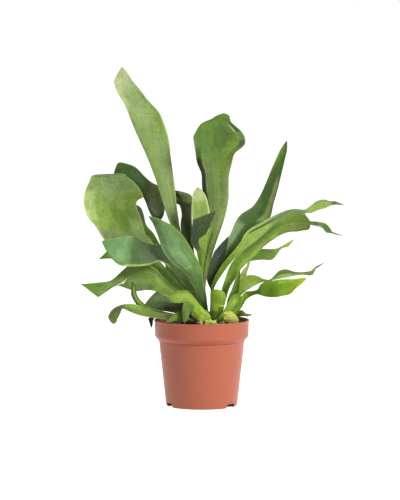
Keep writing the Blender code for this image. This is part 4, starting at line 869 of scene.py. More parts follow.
def frond_sheet(frond, look, seed):
    """The blade and its lobes as one open sheet."""
    bm = bmesh.new()
    layers = (bm.verts.layers.float_vector.new("blade"), bm.verts.layers.float.new("lobe"),
              bm.verts.layers.deform.verify())
    rows = with_foot(outline_rows(frond, BLADE_ROWS))
    lobes = frond.get("lobes", [])
    length = lengths_along(rows)
    share = BODY_SHARE if lobes else 1.0
    along = length / length[-1] * share
    points, places = blade_points(rows, along, BLADE_COLUMNS, frond, look, seed)
    last = add_sheet(bm, layers, points, places, along, length)[-1]
    middle = FLANGE_COLUMNS + BLADE_COLUMNS // 2
    halves = (last[:middle + 1] + [last[middle]] * FLANGE_COLUMNS,
              [last[middle]] * FLANGE_COLUMNS + last[middle:])
    for number, (lobe, first) in enumerate(zip(lobes, halves)):
        start = np.array([list(vert.co / MM) for vert in first])
        root = np.concatenate([start[FLANGE_COLUMNS], start[-1 - FLANGE_COLUMNS]])
        lobe_rows = outline_rows(lobe, LOBE_ROWS, root)
        reach = lengths_along(lobe_rows)
        lobe_along = share + reach / reach[-1] * (1 - share)
        lobe_points, lobe_places = blade_points(lobe_rows, lobe_along, BLADE_COLUMNS // 2, frond,
                                                look, seed + LOBE_SEED * (number + 1))
        fade = np.linspace(1, 0, len(lobe_points))[:, None, None] ** 3
        lobe_points = lobe_points + (start - lobe_points[0]) * fade
        add_sheet(bm, layers, lobe_points, lobe_places, lobe_along, length[-1] + reach,
                  1 - 2 * number, first)
    return bm


def build_frond(name, seed):
    look = LOOKS[name]
    mesh = bpy.data.meshes.new(name + "_blade")
    bm = frond_sheet(FRONDS[name], look, seed)
    bm.to_mesh(mesh)
    bm.free()
    piece = bpy.data.objects.new(name + "_blade", mesh)
    bpy.context.scene.collection.objects.link(piece)
    piece.vertex_groups.new(name="thick")
    mesh.materials.append(leaf_material(name + "_front", look["front"], look, seed,
                                        look.get("light_shade_and_tint_patches", ())))
    mesh.materials.append(leaf_material(name + "_back", look["back"], look, seed + BACK_SEED))
    solid = piece.modifiers.new("thickness", "SOLIDIFY")
    solid.thickness = THICKEST * MM
    solid.offset = 0.0
    solid.vertex_group = "thick"
    solid.thickness_vertex_group = THINNEST_SHARE
    solid.material_offset = 1
    smooth = piece.modifiers.new("smooth", "SUBSURF")
    smooth.levels = smooth.render_levels = 1
    mesh.shade_smooth()
    return piece


# ---- Materials ----

def linear(colour):
    """An sRGB colour of 0 to 255 as linear RGBA."""
    channels = [c / 255 for c in colour]
    return tuple(c / 12.92 if c <= 0.04045 else ((c + 0.055) / 1.055) ** 2.4 for c in channels) + (1.0,)


def surface(colour):
    """The surface's own colour, for a colour as the studio light shows it."""
    return tuple(c * share for c, share in zip(linear(colour), SURFACE_SHARE)) + (1.0,)


class Graph:
    """Short calls for building a material's nodes."""

    def __init__(self, name):
        self.material = bpy.data.materials.new(name)
        self.material.use_nodes = True
        self.tree = self.material.node_tree
        self.shader = self.tree.nodes["Principled BSDF"]
        self.out = self.tree.nodes["Material Output"]

    def node(self, kind, **settings):
        made = self.tree.nodes.new(kind)
        for key, value in settings.items():
            setattr(made, key, value)
        return made

    def wire(self, source, target):
        self.tree.links.new(source, target)

    def fill(self, target, value):
        """Wires a socket to the target, or sets the target to a number or colour."""
        if hasattr(value, "links"):
            self.wire(value, target)
        else:
            target.default_value = value

    def finish(self, **values):
        """Sets or wires the shader's sockets. Names have _ for a space."""
        for name, value in values.items():
            self.fill(self.shader.inputs[name.replace("_", " ")], value)
        return self.material

    def attribute(self, name):
        return self.node("ShaderNodeAttribute", attribute_name=name)

    def math(self, operation, *values):
        made = self.node("ShaderNodeMath", operation=operation)
        for target, value in zip(made.inputs, values):
            self.fill(target, value)
        return made.outputs[0]

    def mix(self, factor, a, b, blend="MIX"):
        made = self.node("ShaderNodeMix", data_type="RGBA", blend_type=blend)
        self.fill(made.inputs["Factor"], factor)
        self.fill(made.inputs[6], a)
        self.fill(made.inputs[7], b)
        return made.outputs[2]

    def times(self, colour, factor):
        """A colour multiplied by a number or by another colour."""
        return self.mix(1.0, colour, factor, "MULTIPLY")

    def noise(self, vector, scale, detail=3.0, rough=0.55):
        made = self.node("ShaderNodeTexNoise")
        self.wire(vector, made.inputs["Vector"])
        made.inputs["Scale"].default_value = scale
        made.inputs["Detail"].default_value = detail
        made.inputs["Roughness"].default_value = rough
        return made.outputs["Fac"]

    def wobble(self, here, scale, reach):
        """Noise that moves an edge by up to half the reach either way."""
        return self.math("MULTIPLY", self.math("SUBTRACT", self.noise(here, scale), 0.5), reach)

    def spread(self, value, low, high, to_low=0.0, to_high=1.0, curve="LINEAR"):
        """Maps low..high to to_low..to_high, and holds the ends beyond it."""
        made = self.node("ShaderNodeMapRange", interpolation_type=curve)
        for target, number in zip(made.inputs, (value, low, high, to_low, to_high)):
            self.fill(target, number)
        return made.outputs[0]

    def smooth(self, value, low, high):
        """0 at low and 1 at high, with a soft start and end."""
        return self.spread(value, low, high, curve="SMOOTHSTEP")

    def between(self, value, low, high, soft):
        """1 between low and high, fading to 0 over a soft edge."""
        return self.math("MULTIPLY", self.smooth(value, low - soft, low + soft),
                         self.smooth(value, high + soft, high - soft))

    def ramp(self, value, stops):
        made = self.node("ShaderNodeValToRGB")
        elements = made.color_ramp.elements
        while len(elements) < len(stops):
            elements.new(0.5)
        for element, (position, colour) in zip(elements, stops):
            element.position = position
            element.color = colour
        self.wire(value, made.inputs[0])
        return made.outputs[0]

    def place(self):
        return self.node("ShaderNodeTexCoord").outputs["Object"]

    def split(self, vector):
        parts = self.node("ShaderNodeSeparateXYZ")
        self.wire(vector, parts.inputs[0])
        return parts.outputs

    def bump(self, height, distance, strength, under=None):
        made = self.node("ShaderNodeBump")
        made.inputs["Strength"].default_value = strength
        made.inputs["Distance"].default_value = distance
        self.wire(height, made.inputs["Height"])
        if under is not None:
            self.wire(under, made.inputs["Normal"])
        return made.outputs[0]


RIM_COLOUR = surface((196, 210, 150))
BLOOM_COLOUR = surface((178, 198, 176))
STRIPE_COLOUR = surface((126, 96, 52))
STRIPE_SHARE = 0.5
VEIN_LIGHT = (1.5, 1.4, 1.5, 1)        # colour of pale veins, times the blade's
VEIN_DARK = (0.62, 0.7, 0.55, 1)
GLOW_COLOUR = (1.3, 1.5, 0.6, 1)       # light through the blade, times its colour
GLOW_SHARE = 0.14                      # how much of a frond's light comes through
STOPS = (0.06, 0.28, 0.52, 0.76, 1.0)  # where the five colours of a frond lie along it
VEINS_ACROSS = 6.0                     # per half width
VEINS_ALONG = 22.0                     # per metre
VEIN_SEED = 3.7
ACROSS_SOFTNESS = 4                    # a patch is softer across the blade than along it


def light_shade_and_tint_mask(g, along, across, patch):
    """1 inside a patch of the blade, fading to 0 over its soft edge."""
    low, high, left, right, soft = patch[:5]
    across_mask = g.between(across, left, right, soft * ACROSS_SOFTNESS)
    return g.math("MULTIPLY", g.between(along, low, high, soft), across_mask)


def painted_blade(g, here, across, along, colours, light_shade_and_tint_patches):
    """The blade's five colours from foot to tip, with its patches over them; both hold painted shade
    and painted highlights besides the frond's own tints.
    """
    lobe_id = g.attribute("lobe").outputs["Fac"]
    stops = [(at, surface(colour)) for at, colour in zip(STOPS, colours)]
    painted = g.ramp(g.math("ADD", along, g.wobble(here, 22.0, reach=0.16)), stops)
    ragged = g.math("ADD", along, g.wobble(here, 60.0, reach=0.035))
    # Each patch paints shade, a highlight or a tint of the frond over its colours.
    for patch in light_shade_and_tint_patches:
        colour, strength, *lobe = patch[5:]
        mask = g.math("MULTIPLY", light_shade_and_tint_mask(g, ragged, across, patch), strength)
        if lobe:
            mask = g.math("MULTIPLY", mask, g.math("COMPARE", lobe_id, float(lobe[0]), 0.5))
        painted = g.mix(mask, painted, surface(colour))
    return painted


def vein_pattern(g, across, length, seed):
    """Noise drawn out along the blade, as its veins are."""
    at = g.node("ShaderNodeCombineXYZ")
    g.wire(g.math("MULTIPLY", across, VEINS_ACROSS), at.inputs[0])
    g.wire(g.math("MULTIPLY", length, VEINS_ALONG), at.inputs[1])
    at.inputs[2].default_value = seed * VEIN_SEED
    return g.noise(at.outputs[0], 1.0, detail=3.0, rough=0.6)


def weathered(g, here, across, veins, colour, look):
    """Mottling, specks, veins, bloom, stripes and a pale rim over the blade's colour."""
    mottle = g.noise(here, 90.0, detail=6.0, rough=0.72)
    colour = g.times(colour, g.spread(mottle, 0.3, 0.7, 0.78, 1.22))
    speck = g.noise(here, 380.0, detail=3.0, rough=0.7)
    colour = g.times(colour, g.spread(speck, 0.35, 0.65, 0.84, 1.16))
    pale_share = g.spread(veins, 0.52, 0.72, 0.0, 0.32)
    colour = g.mix(pale_share, colour, g.times(colour, VEIN_LIGHT))
    dark_share = g.spread(veins, 0.47, 0.28, 0.0, 0.4)
    colour = g.mix(dark_share, colour, g.times(colour, VEIN_DARK))
    if look["bloom"]:
        dust = g.spread(g.noise(here, 34.0, detail=5.0, rough=0.7), 0.38, 0.72)
        colour = g.mix(g.math("MULTIPLY", dust, look["bloom"]), colour, BLOOM_COLOUR)
    if look.get("stripes"):
        band = g.node("ShaderNodeTexWave", bands_direction="Z")
        g.wire(here, band.inputs["Vector"])
        band.inputs["Scale"].default_value = 120.0
        band.inputs["Distortion"].default_value = 9.0
        colour = g.mix(g.math("MULTIPLY", band.outputs["Fac"], STRIPE_SHARE), colour, STRIPE_COLOUR)
    if look["rim"]:
        edge = g.spread(g.math("ABSOLUTE", across), 0.93, 1.0, 0.0, look["rim"])
        broken = g.spread(g.noise(here, 30.0), 0.4, 0.6)
        colour = g.mix(g.math("MULTIPLY", edge, broken), colour, RIM_COLOUR)
    return colour


def leaf_material(name, colours, look, seed, light_shade_and_tint_patches=()):
    g = Graph(name)
    here = g.place()
    across, along, length = g.split(g.attribute("blade").outputs["Vector"])
    veins = vein_pattern(g, across, length, seed)
    colour = painted_blade(g, here, across, along, colours, light_shade_and_tint_patches)
    colour = weathered(g, here, across, veins, colour, look)
    ridges = g.bump(veins, distance=0.0012, strength=0.6)
    swells = g.bump(g.noise(here, 55.0), distance=0.0025, strength=0.5, under=ridges)
    felt = g.bump(g.noise(here, 1500.0, detail=2.0), distance=0.0002, strength=0.35, under=swells)
    g.finish(Base_Color=colour, Normal=felt, Specular_IOR_Level=0.28, Sheen_Weight=0.06,
             Sheen_Roughness=0.5, Roughness=g.spread(g.noise(here, 90.0), 0.3, 0.7, 0.46, 0.64))
    glow = g.node("ShaderNodeBsdfTranslucent")
    g.wire(g.times(colour, GLOW_COLOUR), glow.inputs["Color"])
    both = g.node("ShaderNodeMixShader")
    both.inputs[0].default_value = GLOW_SHARE
    g.wire(g.shader.outputs[0], both.inputs[1])
    g.wire(glow.outputs[0], both.inputs[2])
    g.wire(both.outputs[0], g.out.inputs["Surface"])
    return g.material


STEP_SHADE = linear((150, 58, 26))      # painted shade, darker and redder, on the step under the pot's rim band
STEP_SHADE_SHARE = 0.45
STEP_SHADOW_LINE = linear((84, 34, 22))       # a thin painted shadow line at its foot
STEP_SHADOW_LINE_SHARE = 0.8


def step_shading(g, height, colour):
    """Paints shade on the step under the rim band and a shadow line at its foot. Lengths here are
    metres.
    """
    top = (POT_HEIGHT - RIM_DEPTH) * MM
    foot = top - RIM_CHAMFER * MM
    step_shade_mask = g.math("MULTIPLY", g.smooth(height, foot - 0.0004, foot + 0.0004),
                     g.smooth(height, top + 0.001, top - 0.001))
    colour = g.mix(g.math("MULTIPLY", step_shade_mask, STEP_SHADE_SHARE), colour, STEP_SHADE)
    from_line = g.math("ABSOLUTE", g.math("SUBTRACT", height, foot - 0.0003))
    shadow_line_mask = g.smooth(from_line, 0.0007, 0.0002)
    return g.mix(g.math("MULTIPLY", shadow_line_mask, STEP_SHADOW_LINE_SHARE), colour, STEP_SHADOW_LINE)


def plastic_material():
    """Matt moulded plastic with faint clouds, scuffs and moulding rings, and painted shade under the
    rim band.
    """
    g = Graph("pot_plastic")
    here = g.place()
    colour = g.mix(g.noise(here, 14.0), linear((145, 72, 46)), linear((152, 79, 52)))
    scuff = g.spread(g.noise(here, 140.0, detail=4.0, rough=0.7), 0.62, 0.8, 0.0, 0.25)
    colour = g.mix(scuff, colour, linear((166, 100, 74)))
    squeezed = g.node("ShaderNodeMapping")
    squeezed.inputs["Scale"].default_value = (1.0, 1.0, 9.0)
    g.wire(here, squeezed.inputs["Vector"])
    rings = g.noise(squeezed.outputs[0], 30.0)
    colour = g.mix(g.spread(rings, 0.35, 0.65, 0.0, 0.14), colour, linear((122, 60, 40)))
    # Painted shade on the step under the rim band, and a painted shadow line at its foot.
    colour = step_shading(g, g.split(here)[2], colour)
    ringed = g.bump(rings, distance=0.0004, strength=0.3)
    grain = g.bump(g.noise(here, 900.0, detail=2.0), distance=0.0001, strength=0.25, under=ringed)
    return g.finish(Base_Color=colour, Normal=grain, Specular_IOR_Level=0.38,
                    Roughness=g.spread(g.noise(here, 60.0), 0.3, 0.7, 0.36, 0.46))


def soil_material():
    g = Graph("soil")
    here = g.place()
    colour = g.ramp(g.noise(here, 260.0, detail=5.0, rough=0.7), [
        (0.3, linear((22, 17, 14))), (0.5, linear((44, 34, 26))),
        (0.66, linear((74, 56, 40))), (0.8, linear((112, 90, 66)))])
    lumps = g.bump(g.noise(here, 420.0, detail=4.0, rough=0.7), distance=0.0012, strength=0.8)
    return g.finish(Base_Color=colour, Normal=lumps,
                    Roughness=g.spread(g.noise(here, 120.0), 0.3, 0.7, 0.8, 1.0))


def bits_material():
    """Every chip has its own tone, from black through brown to pale bark."""
    g = Graph("soil_bits")
    here = g.place()
    colour = g.ramp(g.attribute("tone").outputs["Fac"], [
        (0.0, linear((18, 14, 12))), (0.45, linear((44, 32, 24))),
        (0.8, linear((92, 66, 44))), (1.0, linear((168, 146, 118)))])
    dirt = g.spread(g.noise(here, 500.0), 0.35, 0.7, 0.0, 0.6)
    colour = g.mix(dirt, colour, linear((24, 19, 16)))
    return g.finish(Base_Color=colour, Roughness=0.88,
                    Normal=g.bump(g.noise(here, 900.0), distance=0.0005, strength=0.6))


def rhizome_material():
    g = Graph("rhizome")
    here = g.place()
    colour = g.ramp(g.noise(here, 160.0, detail=5.0, rough=0.65), [
        (0.3, linear((48, 36, 22))), (0.5, linear((84, 68, 38))),
        (0.65, linear((112, 112, 54))), (0.8, linear((140, 150, 76)))])
    knobs = g.bump(g.noise(here, 700.0, detail=4.0, rough=0.7), distance=0.0008, strength=0.9)
    return g.finish(Base_Color=colour, Normal=knobs,
                    Roughness=g.spread(g.noise(here, 80.0), 0.3, 0.7, 0.75, 0.95))


def scale_material():
    g = Graph("rhizome_scales")
    here = g.place()
    colour = g.mix(g.noise(here, 300.0), linear((70, 46, 26)), linear((138, 104, 62)))
    fibres = g.bump(g.noise(here, 1500.0, detail=2.0), distance=0.0003, strength=0.5)
    return g.finish(Base_Color=colour, Normal=fibres, Roughness=0.8)


def flake_material():
    """Every scrap has its own tone, from papery brown to fresh green."""
    g = Graph("crown_flakes")
    here = g.place()
    colour = g.ramp(g.attribute("tone").outputs["Fac"], [
        (0.0, surface((150, 112, 82))), (0.3, surface((204, 170, 132))),
        (0.6, surface((206, 216, 120))), (1.0, surface((160, 196, 62)))])
    streak = g.noise(here, 420.0, detail=4.0, rough=0.7)
    colour = g.times(colour, g.spread(streak, 0.35, 0.65, 0.7, 1.3))
    return g.finish(Base_Color=colour, Roughness=0.6,
                    Normal=g.bump(g.noise(here, 800.0), distance=0.0004, strength=0.6))


def floor_material():
    g = Graph("floor")
    colour = g.mix(g.noise(g.place(), 2.0), (0.50, 0.50, 0.50, 1), (0.53, 0.53, 0.53, 1))
    return g.finish(Base_Color=colour, Roughness=0.9, Specular_IOR_Level=0.1,
                    Emission_Color=(1.0, 1.0, 1.0, 1.0), Emission_Strength=0.86)


# ---- Pot, soil and crown ----

def add_object(name, bm, material):
    mesh = bpy.data.meshes.new(name)
    bm.to_mesh(mesh)
    bm.free()
    mesh.materials.append(material)
    mesh.shade_smooth()
    item = bpy.data.objects.new(name, mesh)
    bpy.context.scene.collection.objects.link(item)
    return item


def thicken(item, thickness):
    solid = item.modifiers.new("thickness", "SOLIDIFY")
    solid.thickness = thickness * MM
    return item


def skin(bm, top, loops, bottom):
    """Faces over rings of vertices, closed by a vertex at the top and one at the bottom."""
    steps = len(loops[0])
    for k in range(steps):
        after = (k + 1) % steps
        bm.faces.new((top, loops[0][k], loops[0][after]))
        for near, far in zip(loops, loops[1:]):
            bm.faces.new((near[k], far[k], far[after], near[after]))
        bm.faces.new((loops[-1][k], bottom, loops[-1][after]))


def rounded(profile, radius, steps=4):
    """The profile with its inner corners rounded by short quadratic curves."""
    points = [np.array(point, dtype=float) for point in profile]
    made = [points[0]]
    for before, corner, after in zip(points, points[1:], points[2:]):
        reach = min(radius, np.linalg.norm(before - corner) / 2, np.linalg.norm(after - corner) / 2)
        start = corner + (before - corner) / np.linalg.norm(before - corner) * reach
        end = corner + (after - corner) / np.linalg.norm(after - corner) * reach
        for k in range(steps + 1):
            t = k / steps
            made.append((1 - t) ** 2 * start + 2 * t * (1 - t) * corner + t**2 * end)
    return made + [points[-1]]


def pot_profile():
    """Half of the pot's section as (radius, height), from the floor inside to the one outside."""
    band_foot = POT_HEIGHT - RIM_DEPTH
    chamfer_foot = band_foot - RIM_CHAMFER
    slope = (SHOULDER_RADIUS - FOOT_RADIUS) / chamfer_foot
    bore = RIM_RADIUS - POT_WALL
    inside = [(0, POT_FLOOR), (FOOT_RADIUS + slope * POT_FLOOR - POT_WALL, POT_FLOOR),
              (SHOULDER_RADIUS - POT_WALL, chamfer_foot), (bore - 0.9, band_foot)]
    lip = [(bore, POT_HEIGHT - 0.6), (bore + 0.5, POT_HEIGHT), (RIM_RADIUS + 0.5, POT_HEIGHT),
           (RIM_RADIUS + 0.8, POT_HEIGHT - 0.9), (RIM_RADIUS + 0.55, POT_HEIGHT - 2.0),
           (RIM_RADIUS + 0.1, POT_HEIGHT - 2.6)]
    band = [(RIM_RADIUS - 0.3, band_foot + 2.6), (RIM_RADIUS - 0.4, band_foot + 1.6),
            (RIM_RADIUS - 0.7, band_foot + 0.4), (RIM_RADIUS - 1.6, band_foot - 0.9)]
    step = [(SHOULDER_RADIUS + 0.6, chamfer_foot + 0.7), (SHOULDER_RADIUS + 0.5, chamfer_foot),
            (SHOULDER_RADIUS - 0.4, chamfer_foot - 0.5), (SHOULDER_RADIUS - 1.2, chamfer_foot - 9.0)]
    foot = [(FOOT_RADIUS + 1.0, 6.0), (FOOT_RADIUS + 0.3, 1.2), (FOOT_RADIUS - 0.6, 0),
            (FOOT_RADIUS - 3.0, 0), (0, 0)]
    return inside + lip + band + step + foot


def drain_cutters(material):
    """One rounded block for each drain slot in the pot's foot."""
    bm = bmesh.new()
    size = Vector((DRAIN_WIDTH, 2 * DRAIN_REACH, 2 * DRAIN_HEIGHT)) * MM
    for _ in DRAIN_ANGLES:
        made = bmesh.ops.create_cube(bm, size=1.0)["verts"]
        bmesh.ops.scale(bm, vec=size, verts=made)
        bmesh.ops.bevel(bm, geom=list({e for v in made for e in v.link_edges}),
                        offset=DRAIN_ROUNDING * MM, segments=3, affect="EDGES")
    cutters = add_object("drain_cutters", bm, material)
    count = len(cutters.data.vertices) // len(DRAIN_ANGLES)
    for index, vertex in enumerate(cutters.data.vertices):
        turn = math.radians(DRAIN_ANGLES[index // count])
        x, y, z = vertex.co
        y -= FOOT_RADIUS * MM
        vertex.co = (x * math.cos(turn) - y * math.sin(turn),
                     x * math.sin(turn) + y * math.cos(turn), z)
    return cutters


def build_pot():
    bm = bmesh.new()
    profile = rounded(pot_profile(), PROFILE_ROUNDING)
    verts = [bm.verts.new((radius * MM, 0, height * MM)) for radius, height in profile]
    for start, end in zip(verts, verts[1:]):
        bm.edges.new((start, end))
    pot = add_object("pot_shell", bm, plastic_material())
    screw = pot.modifiers.new("turn", "SCREW")
    screw.steps = screw.render_steps = POT_STEPS
    screw.use_merge_vertices = True
    screw.merge_threshold = 0.00002
    screw.use_smooth_shade = True
    cutters = drain_cutters(pot.data.materials[0])
    cut = pot.modifiers.new("drains", "BOOLEAN")
    cut.operation = "DIFFERENCE"
    cut.object = cutters
    finished = bpy.data.meshes.new_from_object(pot.evaluated_get(bpy.context.evaluated_depsgraph_get()))
    pot.modifiers.clear()
    pot.data = finished
    finished.name = "pot_shell"
    finished.set_sharp_from_angle(angle=math.radians(35))
    bpy.data.objects.remove(cutters)
    return pot


def soil_height(x, y):
    """Height of the soil's surface, in millimetres."""
    at = Vector((x / SOIL_LUMP_SIZE, y / SOIL_LUMP_SIZE, 0.3))
    lumps = sum(noise.noise(at * scale) * height for scale, height in SOIL_LUMPS)
    edge = min(1.0, (SOIL_RADIUS - math.hypot(x, y)) / SOIL_EDGE)
    return SOIL_TOP + SOIL_CROWN + lumps * edge


def build_soil(box):
    """The root ball: a rough top, and a plain side that shows through the drain slots."""
    bm = bmesh.new()
    low = box[0][2] / MM
    band_foot = POT_HEIGHT - RIM_DEPTH
    rings = [(SOIL_RADIUS * (k / SOIL_RINGS) ** SOIL_CROWDING, None) for k in range(1, SOIL_RINGS + 1)]
    rim_gap, shoulder_gap, foot_gap = SOIL_GAPS
    rings += [(SOIL_RADIUS - rim_gap, band_foot + 1),
              (SHOULDER_RADIUS - shoulder_gap, band_foot - RIM_CHAMFER),
              (FOOT_RADIUS - foot_gap, low), (FOOT_RADIUS / 2, low)]
    top = bm.verts.new((0, 0, soil_height(0, 0) * MM))
    loops = []
    for radius, height in rings:
        loop = []
        for k in range(SOIL_STEPS):
            angle = 2 * math.pi * k / SOIL_STEPS
            x, y = radius * math.cos(angle), radius * math.sin(angle)
            z = soil_height(x, y) if height is None else height
            loop.append(bm.verts.new((x * MM, y * MM, z * MM)))
        loops.append(loop)
    skin(bm, top, loops, bm.verts.new((0, 0, low * MM)))
    return add_object("soil_surface", bm, soil_material())


def chip_spots(rng):
    """Where the chips lie, as (x, y, z, radius): all over the soil, and a clump at the rim."""
    spots = []
    while len(spots) < CHIPS:
        x, y = rng.uniform(-CHIP_FIELD, CHIP_FIELD), rng.uniform(-CHIP_FIELD, CHIP_FIELD)
        if math.hypot(x, y) < CHIP_REACH:
            z = soil_height(x, y) + rng.uniform(*CHIP_LIFT)
            spots.append((x, y, z, rng.uniform(*CHIP_SIZES)))
    for _ in range(CLUMP_CHIPS):
        spots.append((rng.gauss(*CLUMP_X), rng.gauss(*CLUMP_Y), rng.uniform(*CLUMP_Z),
                      rng.uniform(*CLUMP_SIZES)))
    return spots


def build_bits():
    """Bark chips and crumbs on the soil, with a clump at the right of the rim."""
    rng = random.Random(5)
    bm = bmesh.new()
    tone = bm.verts.layers.float.new("tone")
    for x, y, z, size in chip_spots(rng):
        if math.hypot(x, y) > CLUMP_REACH:
            continue
        made = bmesh.ops.create_icosphere(bm, subdivisions=1, radius=size * MM)["verts"]
        stretch = Vector([rng.uniform(*span) for span in CHIP_STRETCH])
        turn = rng.uniform(0, math.pi)
        shade = rng.random() ** CHIP_DARKNESS
        for vert in made:
            co = Vector([a * b for a, b in zip(vert.co, stretch)]) * rng.uniform(*CHIP_ROUGHNESS)
            vert.co = (co.x * math.cos(turn) - co.y * math.sin(turn) + x * MM,
                       co.x * math.sin(turn) + co.y * math.cos(turn) + y * MM, co.z + z * MM)
            vert[tone] = shade
    return add_object("soil_chips", bm, bits_material())


def crown_point(centre, radii, azimuth, height):
    """A point on the crown's lumpy dome; height is 0 at its edge and 1 on top."""
    around = math.sqrt(max(1 - height**2, 0))
    direction = Vector((math.cos(azimuth) * around, math.sin(azimuth) * around, height))
    swell = sum((noise.noise(direction * scale) * height for scale, height in DOME_LUMPS), 1)
    return Vector((centre.x + direction.x * radii.x * swell, centre.y + direction.y * radii.y * swell,
                   centre.z + direction.z * radii.z * swell))


def build_dome(centre, radii):
    bm = bmesh.new()
    top = bm.verts.new(crown_point(centre, radii, 0, 1))
    loops = []
    for ring in range(1, DOME_RINGS + 1):
        height = math.cos(math.pi / 2 * ring / DOME_RINGS)
        loops.append([bm.verts.new(crown_point(centre, radii, 2 * math.pi * k / DOME_STEPS, height))
                      for k in range(DOME_STEPS)])
    skin(bm, top, loops, bm.verts.new(centre - Vector((0, 0, MM))))
    return add_object("crown_dome", bm, rhizome_material())


def build_scales(centre, radii):
    """Narrow pointed scales that lean out of the dome at random."""
    rng = random.Random(11)
    bm = bmesh.new()
    for _ in range(SCALES):
        azimuth, height = rng.uniform(0, 2 * math.pi), rng.uniform(*SCALE_HEIGHTS)
        root = crown_point(centre, radii, azimuth, height)
        out = (root - centre).normalized()
        side = out.cross(Vector((rng.gauss(0, 1), rng.gauss(0, 1), rng.gauss(0, 1)))).normalized()
        tip_way = (side.cross(out) + out * SCALE_LEAN).normalized()
        length, width = rng.uniform(*SCALE_LENGTHS) * MM, rng.uniform(*SCALE_WIDTHS) * MM
        waist = tip_way * length * SCALE_WAIST + out * 0.0004
        corners = [root - side * width, root + side * width,
                   root + side * width * SCALE_TAPER + waist,
                   root + tip_way * length + out * 0.0002,
                   root - side * width * SCALE_TAPER + waist]
        verts = [bm.verts.new(corner) for corner in corners]
        bm.faces.new((verts[0], verts[1], verts[2], verts[4]))
        bm.faces.new((verts[4], verts[2], verts[3]))
    return thicken(add_object("crown_scales", bm, scale_material()), SCALE_THICKNESS)


def build_crown(box):
    low, high = Vector(box[0]), Vector(box[1])
    centre = Vector(((low.x + high.x) / 2, (low.y + high.y) / 2, (SOIL_TOP - 1.0) * MM))
    radii = Vector(((high.x - low.x) / 2, (high.y - low.y) / 2, high.z - centre.z - MM))
    return build_dome(centre, radii), build_scales(centre, radii)


def flake_point(number, length, width, lean, curl, share, across):
    """A point of a scrap, as (sideways, outwards, up). Share runs from its foot to its tip and
    across from -1 to 1. The scrap narrows to its tip, arches across and has a ragged surface."""
    bend = lean + curl * share
    out = length * share
    side = across * (width * (1 - share**3) * (0.6 + 0.4 * share) + 0.2)
    ragged = noise.noise(Vector((number * 3.1, side * 0.6, out * 0.5)))
    up = out * math.sin(bend) * 0.8 + ragged * 0.9 - side**2 / (width * 4)
    return side, out * math.cos(bend) * 0.9, up


def build_flakes():
    """Torn, curled scraps of old shield fronds around the front of the crown."""
    rng = random.Random(23)
    bm = bmesh.new()
    tones = bm.verts.layers.float.new("tone")
    for number in range(FLAKES):
        x = rng.uniform(*FLAKE_X)
        y = rng.uniform(*FLAKE_Y) + abs(x) * FLAKE_BOW
        z = rng.uniform(*FLAKE_Z)
        turn, lean = rng.uniform(*FLAKE_TURN), rng.uniform(*FLAKE_LEAN)
        room = math.sqrt(SOIL_RADIUS**2 - x**2) + y - FLAKE_CLEARANCE
        length = min(rng.uniform(*FLAKE_LENGTHS), max(room, SHORTEST_FLAKE))
        width = rng.uniform(*FLAKE_WIDTHS)
        curl = rng.uniform(*FLAKE_CURL)
        shade = rng.random()
        grid = []
        for row in range(FLAKE_ROWS + 1):
            line = []
            for column in range(FLAKE_COLUMNS + 1):
                across = 2 * column / FLAKE_COLUMNS - 1
                side, out, up = flake_point(number, length, width, lean, curl,
                                            row / FLAKE_ROWS, across)
                vert = bm.verts.new(((x + side * math.cos(turn) - out * math.sin(turn)) * MM,
                                     (y - side * math.sin(turn) - out * math.cos(turn)) * MM,
                                     (z + up) * MM))
                vert[tones] = shade
                line.append(vert)
            grid.append(line)
        for near, far in zip(grid, grid[1:]):
            for k in range(FLAKE_COLUMNS):
                bm.faces.new((near[k], near[k + 1], far[k + 1], far[k]))
    return thicken(add_object("crown_flakes", bm, flake_material()), FLAKE_THICKNESS)


# ---- Stage ----

# Lights: name, location, target and size in metres, power in watts
LIGHTS = (("key", (1.5, -1.3, 1.6), (0, 0, 0.2), 0.9, 85.0),
          ("back", (-0.6, 1.6, 1.7), (0, 0, 0.25), 1.2, 16.0))
SKY_TOP = 0.35             # brightness overhead, against 1 at the horizon
SKY_FADE = (0.06, 0.22)    # how far above the horizon the sky starts and ends to darken
FLOOR_RADIUS = 25.0
CAMERA_X = -0.0022
CAMERA_TILT = 4.408        # degrees below level
FOCAL_LENGTH = 170.3       # millimetres, for a sensor 36 mm wide


def build_floor():
    bm = bmesh.new()
    bmesh.ops.create_circle(bm, cap_ends=True, segments=96, radius=FLOOR_RADIUS)
    return add_object("floor", bm, floor_material())


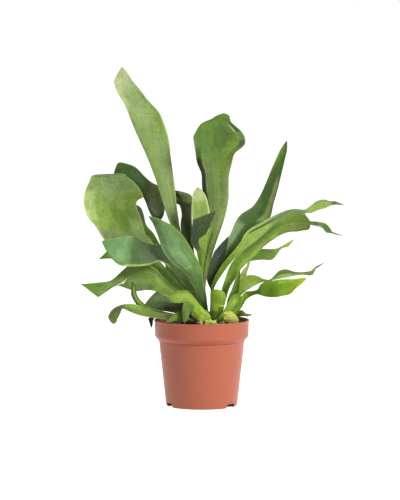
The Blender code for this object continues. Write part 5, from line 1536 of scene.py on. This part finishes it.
def build_sky():
    """A white studio that is bright at the horizon and dimmer overhead."""
    world = bpy.data.worlds.new("studio")
    world.use_nodes = True
    tree = world.node_tree
    sky = tree.nodes["Background"]
    where = tree.nodes.new("ShaderNodeTexCoord")
    split = tree.nodes.new("ShaderNodeSeparateXYZ")
    fall = tree.nodes.new("ShaderNodeMapRange")
    tree.links.new(where.outputs["Generated"], split.inputs[0])
    tree.links.new(split.outputs[2], fall.inputs[0])
    for socket, value in zip(fall.inputs[1:], (*SKY_FADE, 1.0, SKY_TOP)):
        socket.default_value = value
    tree.links.new(fall.outputs[0], sky.inputs["Strength"])
    sky.inputs["Color"].default_value = (1.0, 1.0, 1.0, 1.0)
    bpy.context.scene.world = world
    bpy.context.scene.view_settings.view_transform = "Standard"


def add_light(name, location, target, size, energy):
    lamp = bpy.data.lights.new(name, "AREA")
    lamp.shape = "DISK"
    lamp.size = size
    lamp.energy = energy
    item = bpy.data.objects.new(name, lamp)
    item.location = location
    item.rotation_euler = (Vector(target) - Vector(location)).to_track_quat("-Z", "Y").to_euler()
    bpy.context.scene.collection.objects.link(item)


def build_camera():
    lens = bpy.data.cameras.new("camera")
    lens.sensor_width = 36.0
    lens.lens = FOCAL_LENGTH
    lens.clip_end = 60.0
    camera = bpy.data.objects.new("camera", lens)
    camera.location = (CAMERA_X, -EYE_DISTANCE * MM, EYE_HEIGHT * MM)
    camera.rotation_euler = (math.radians(90 - CAMERA_TILT), 0, 0)
    bpy.context.scene.collection.objects.link(camera)
    bpy.context.scene.camera = camera


def adopt(piece, node):
    """The piece rides on the object and stands for the CAD node, which it hides."""
    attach(piece, "root")
    if node is not None:
        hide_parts(node)


def main():
    build_camera()
    floor = build_floor()
    build_sky()
    for light in LIGHTS:
        add_light(*light)
    adopt(build_pot(), "pot")
    adopt(build_soil(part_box("soil")), "soil")
    adopt(build_bits(), None)
    dome, scales = build_crown(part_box("rhizome"))
    adopt(dome, "rhizome")
    adopt(scales, None)
    adopt(build_flakes(), None)
    for number, name in enumerate(FRONDS):
        adopt(build_frond(name, 1.0 + number), name)


main()
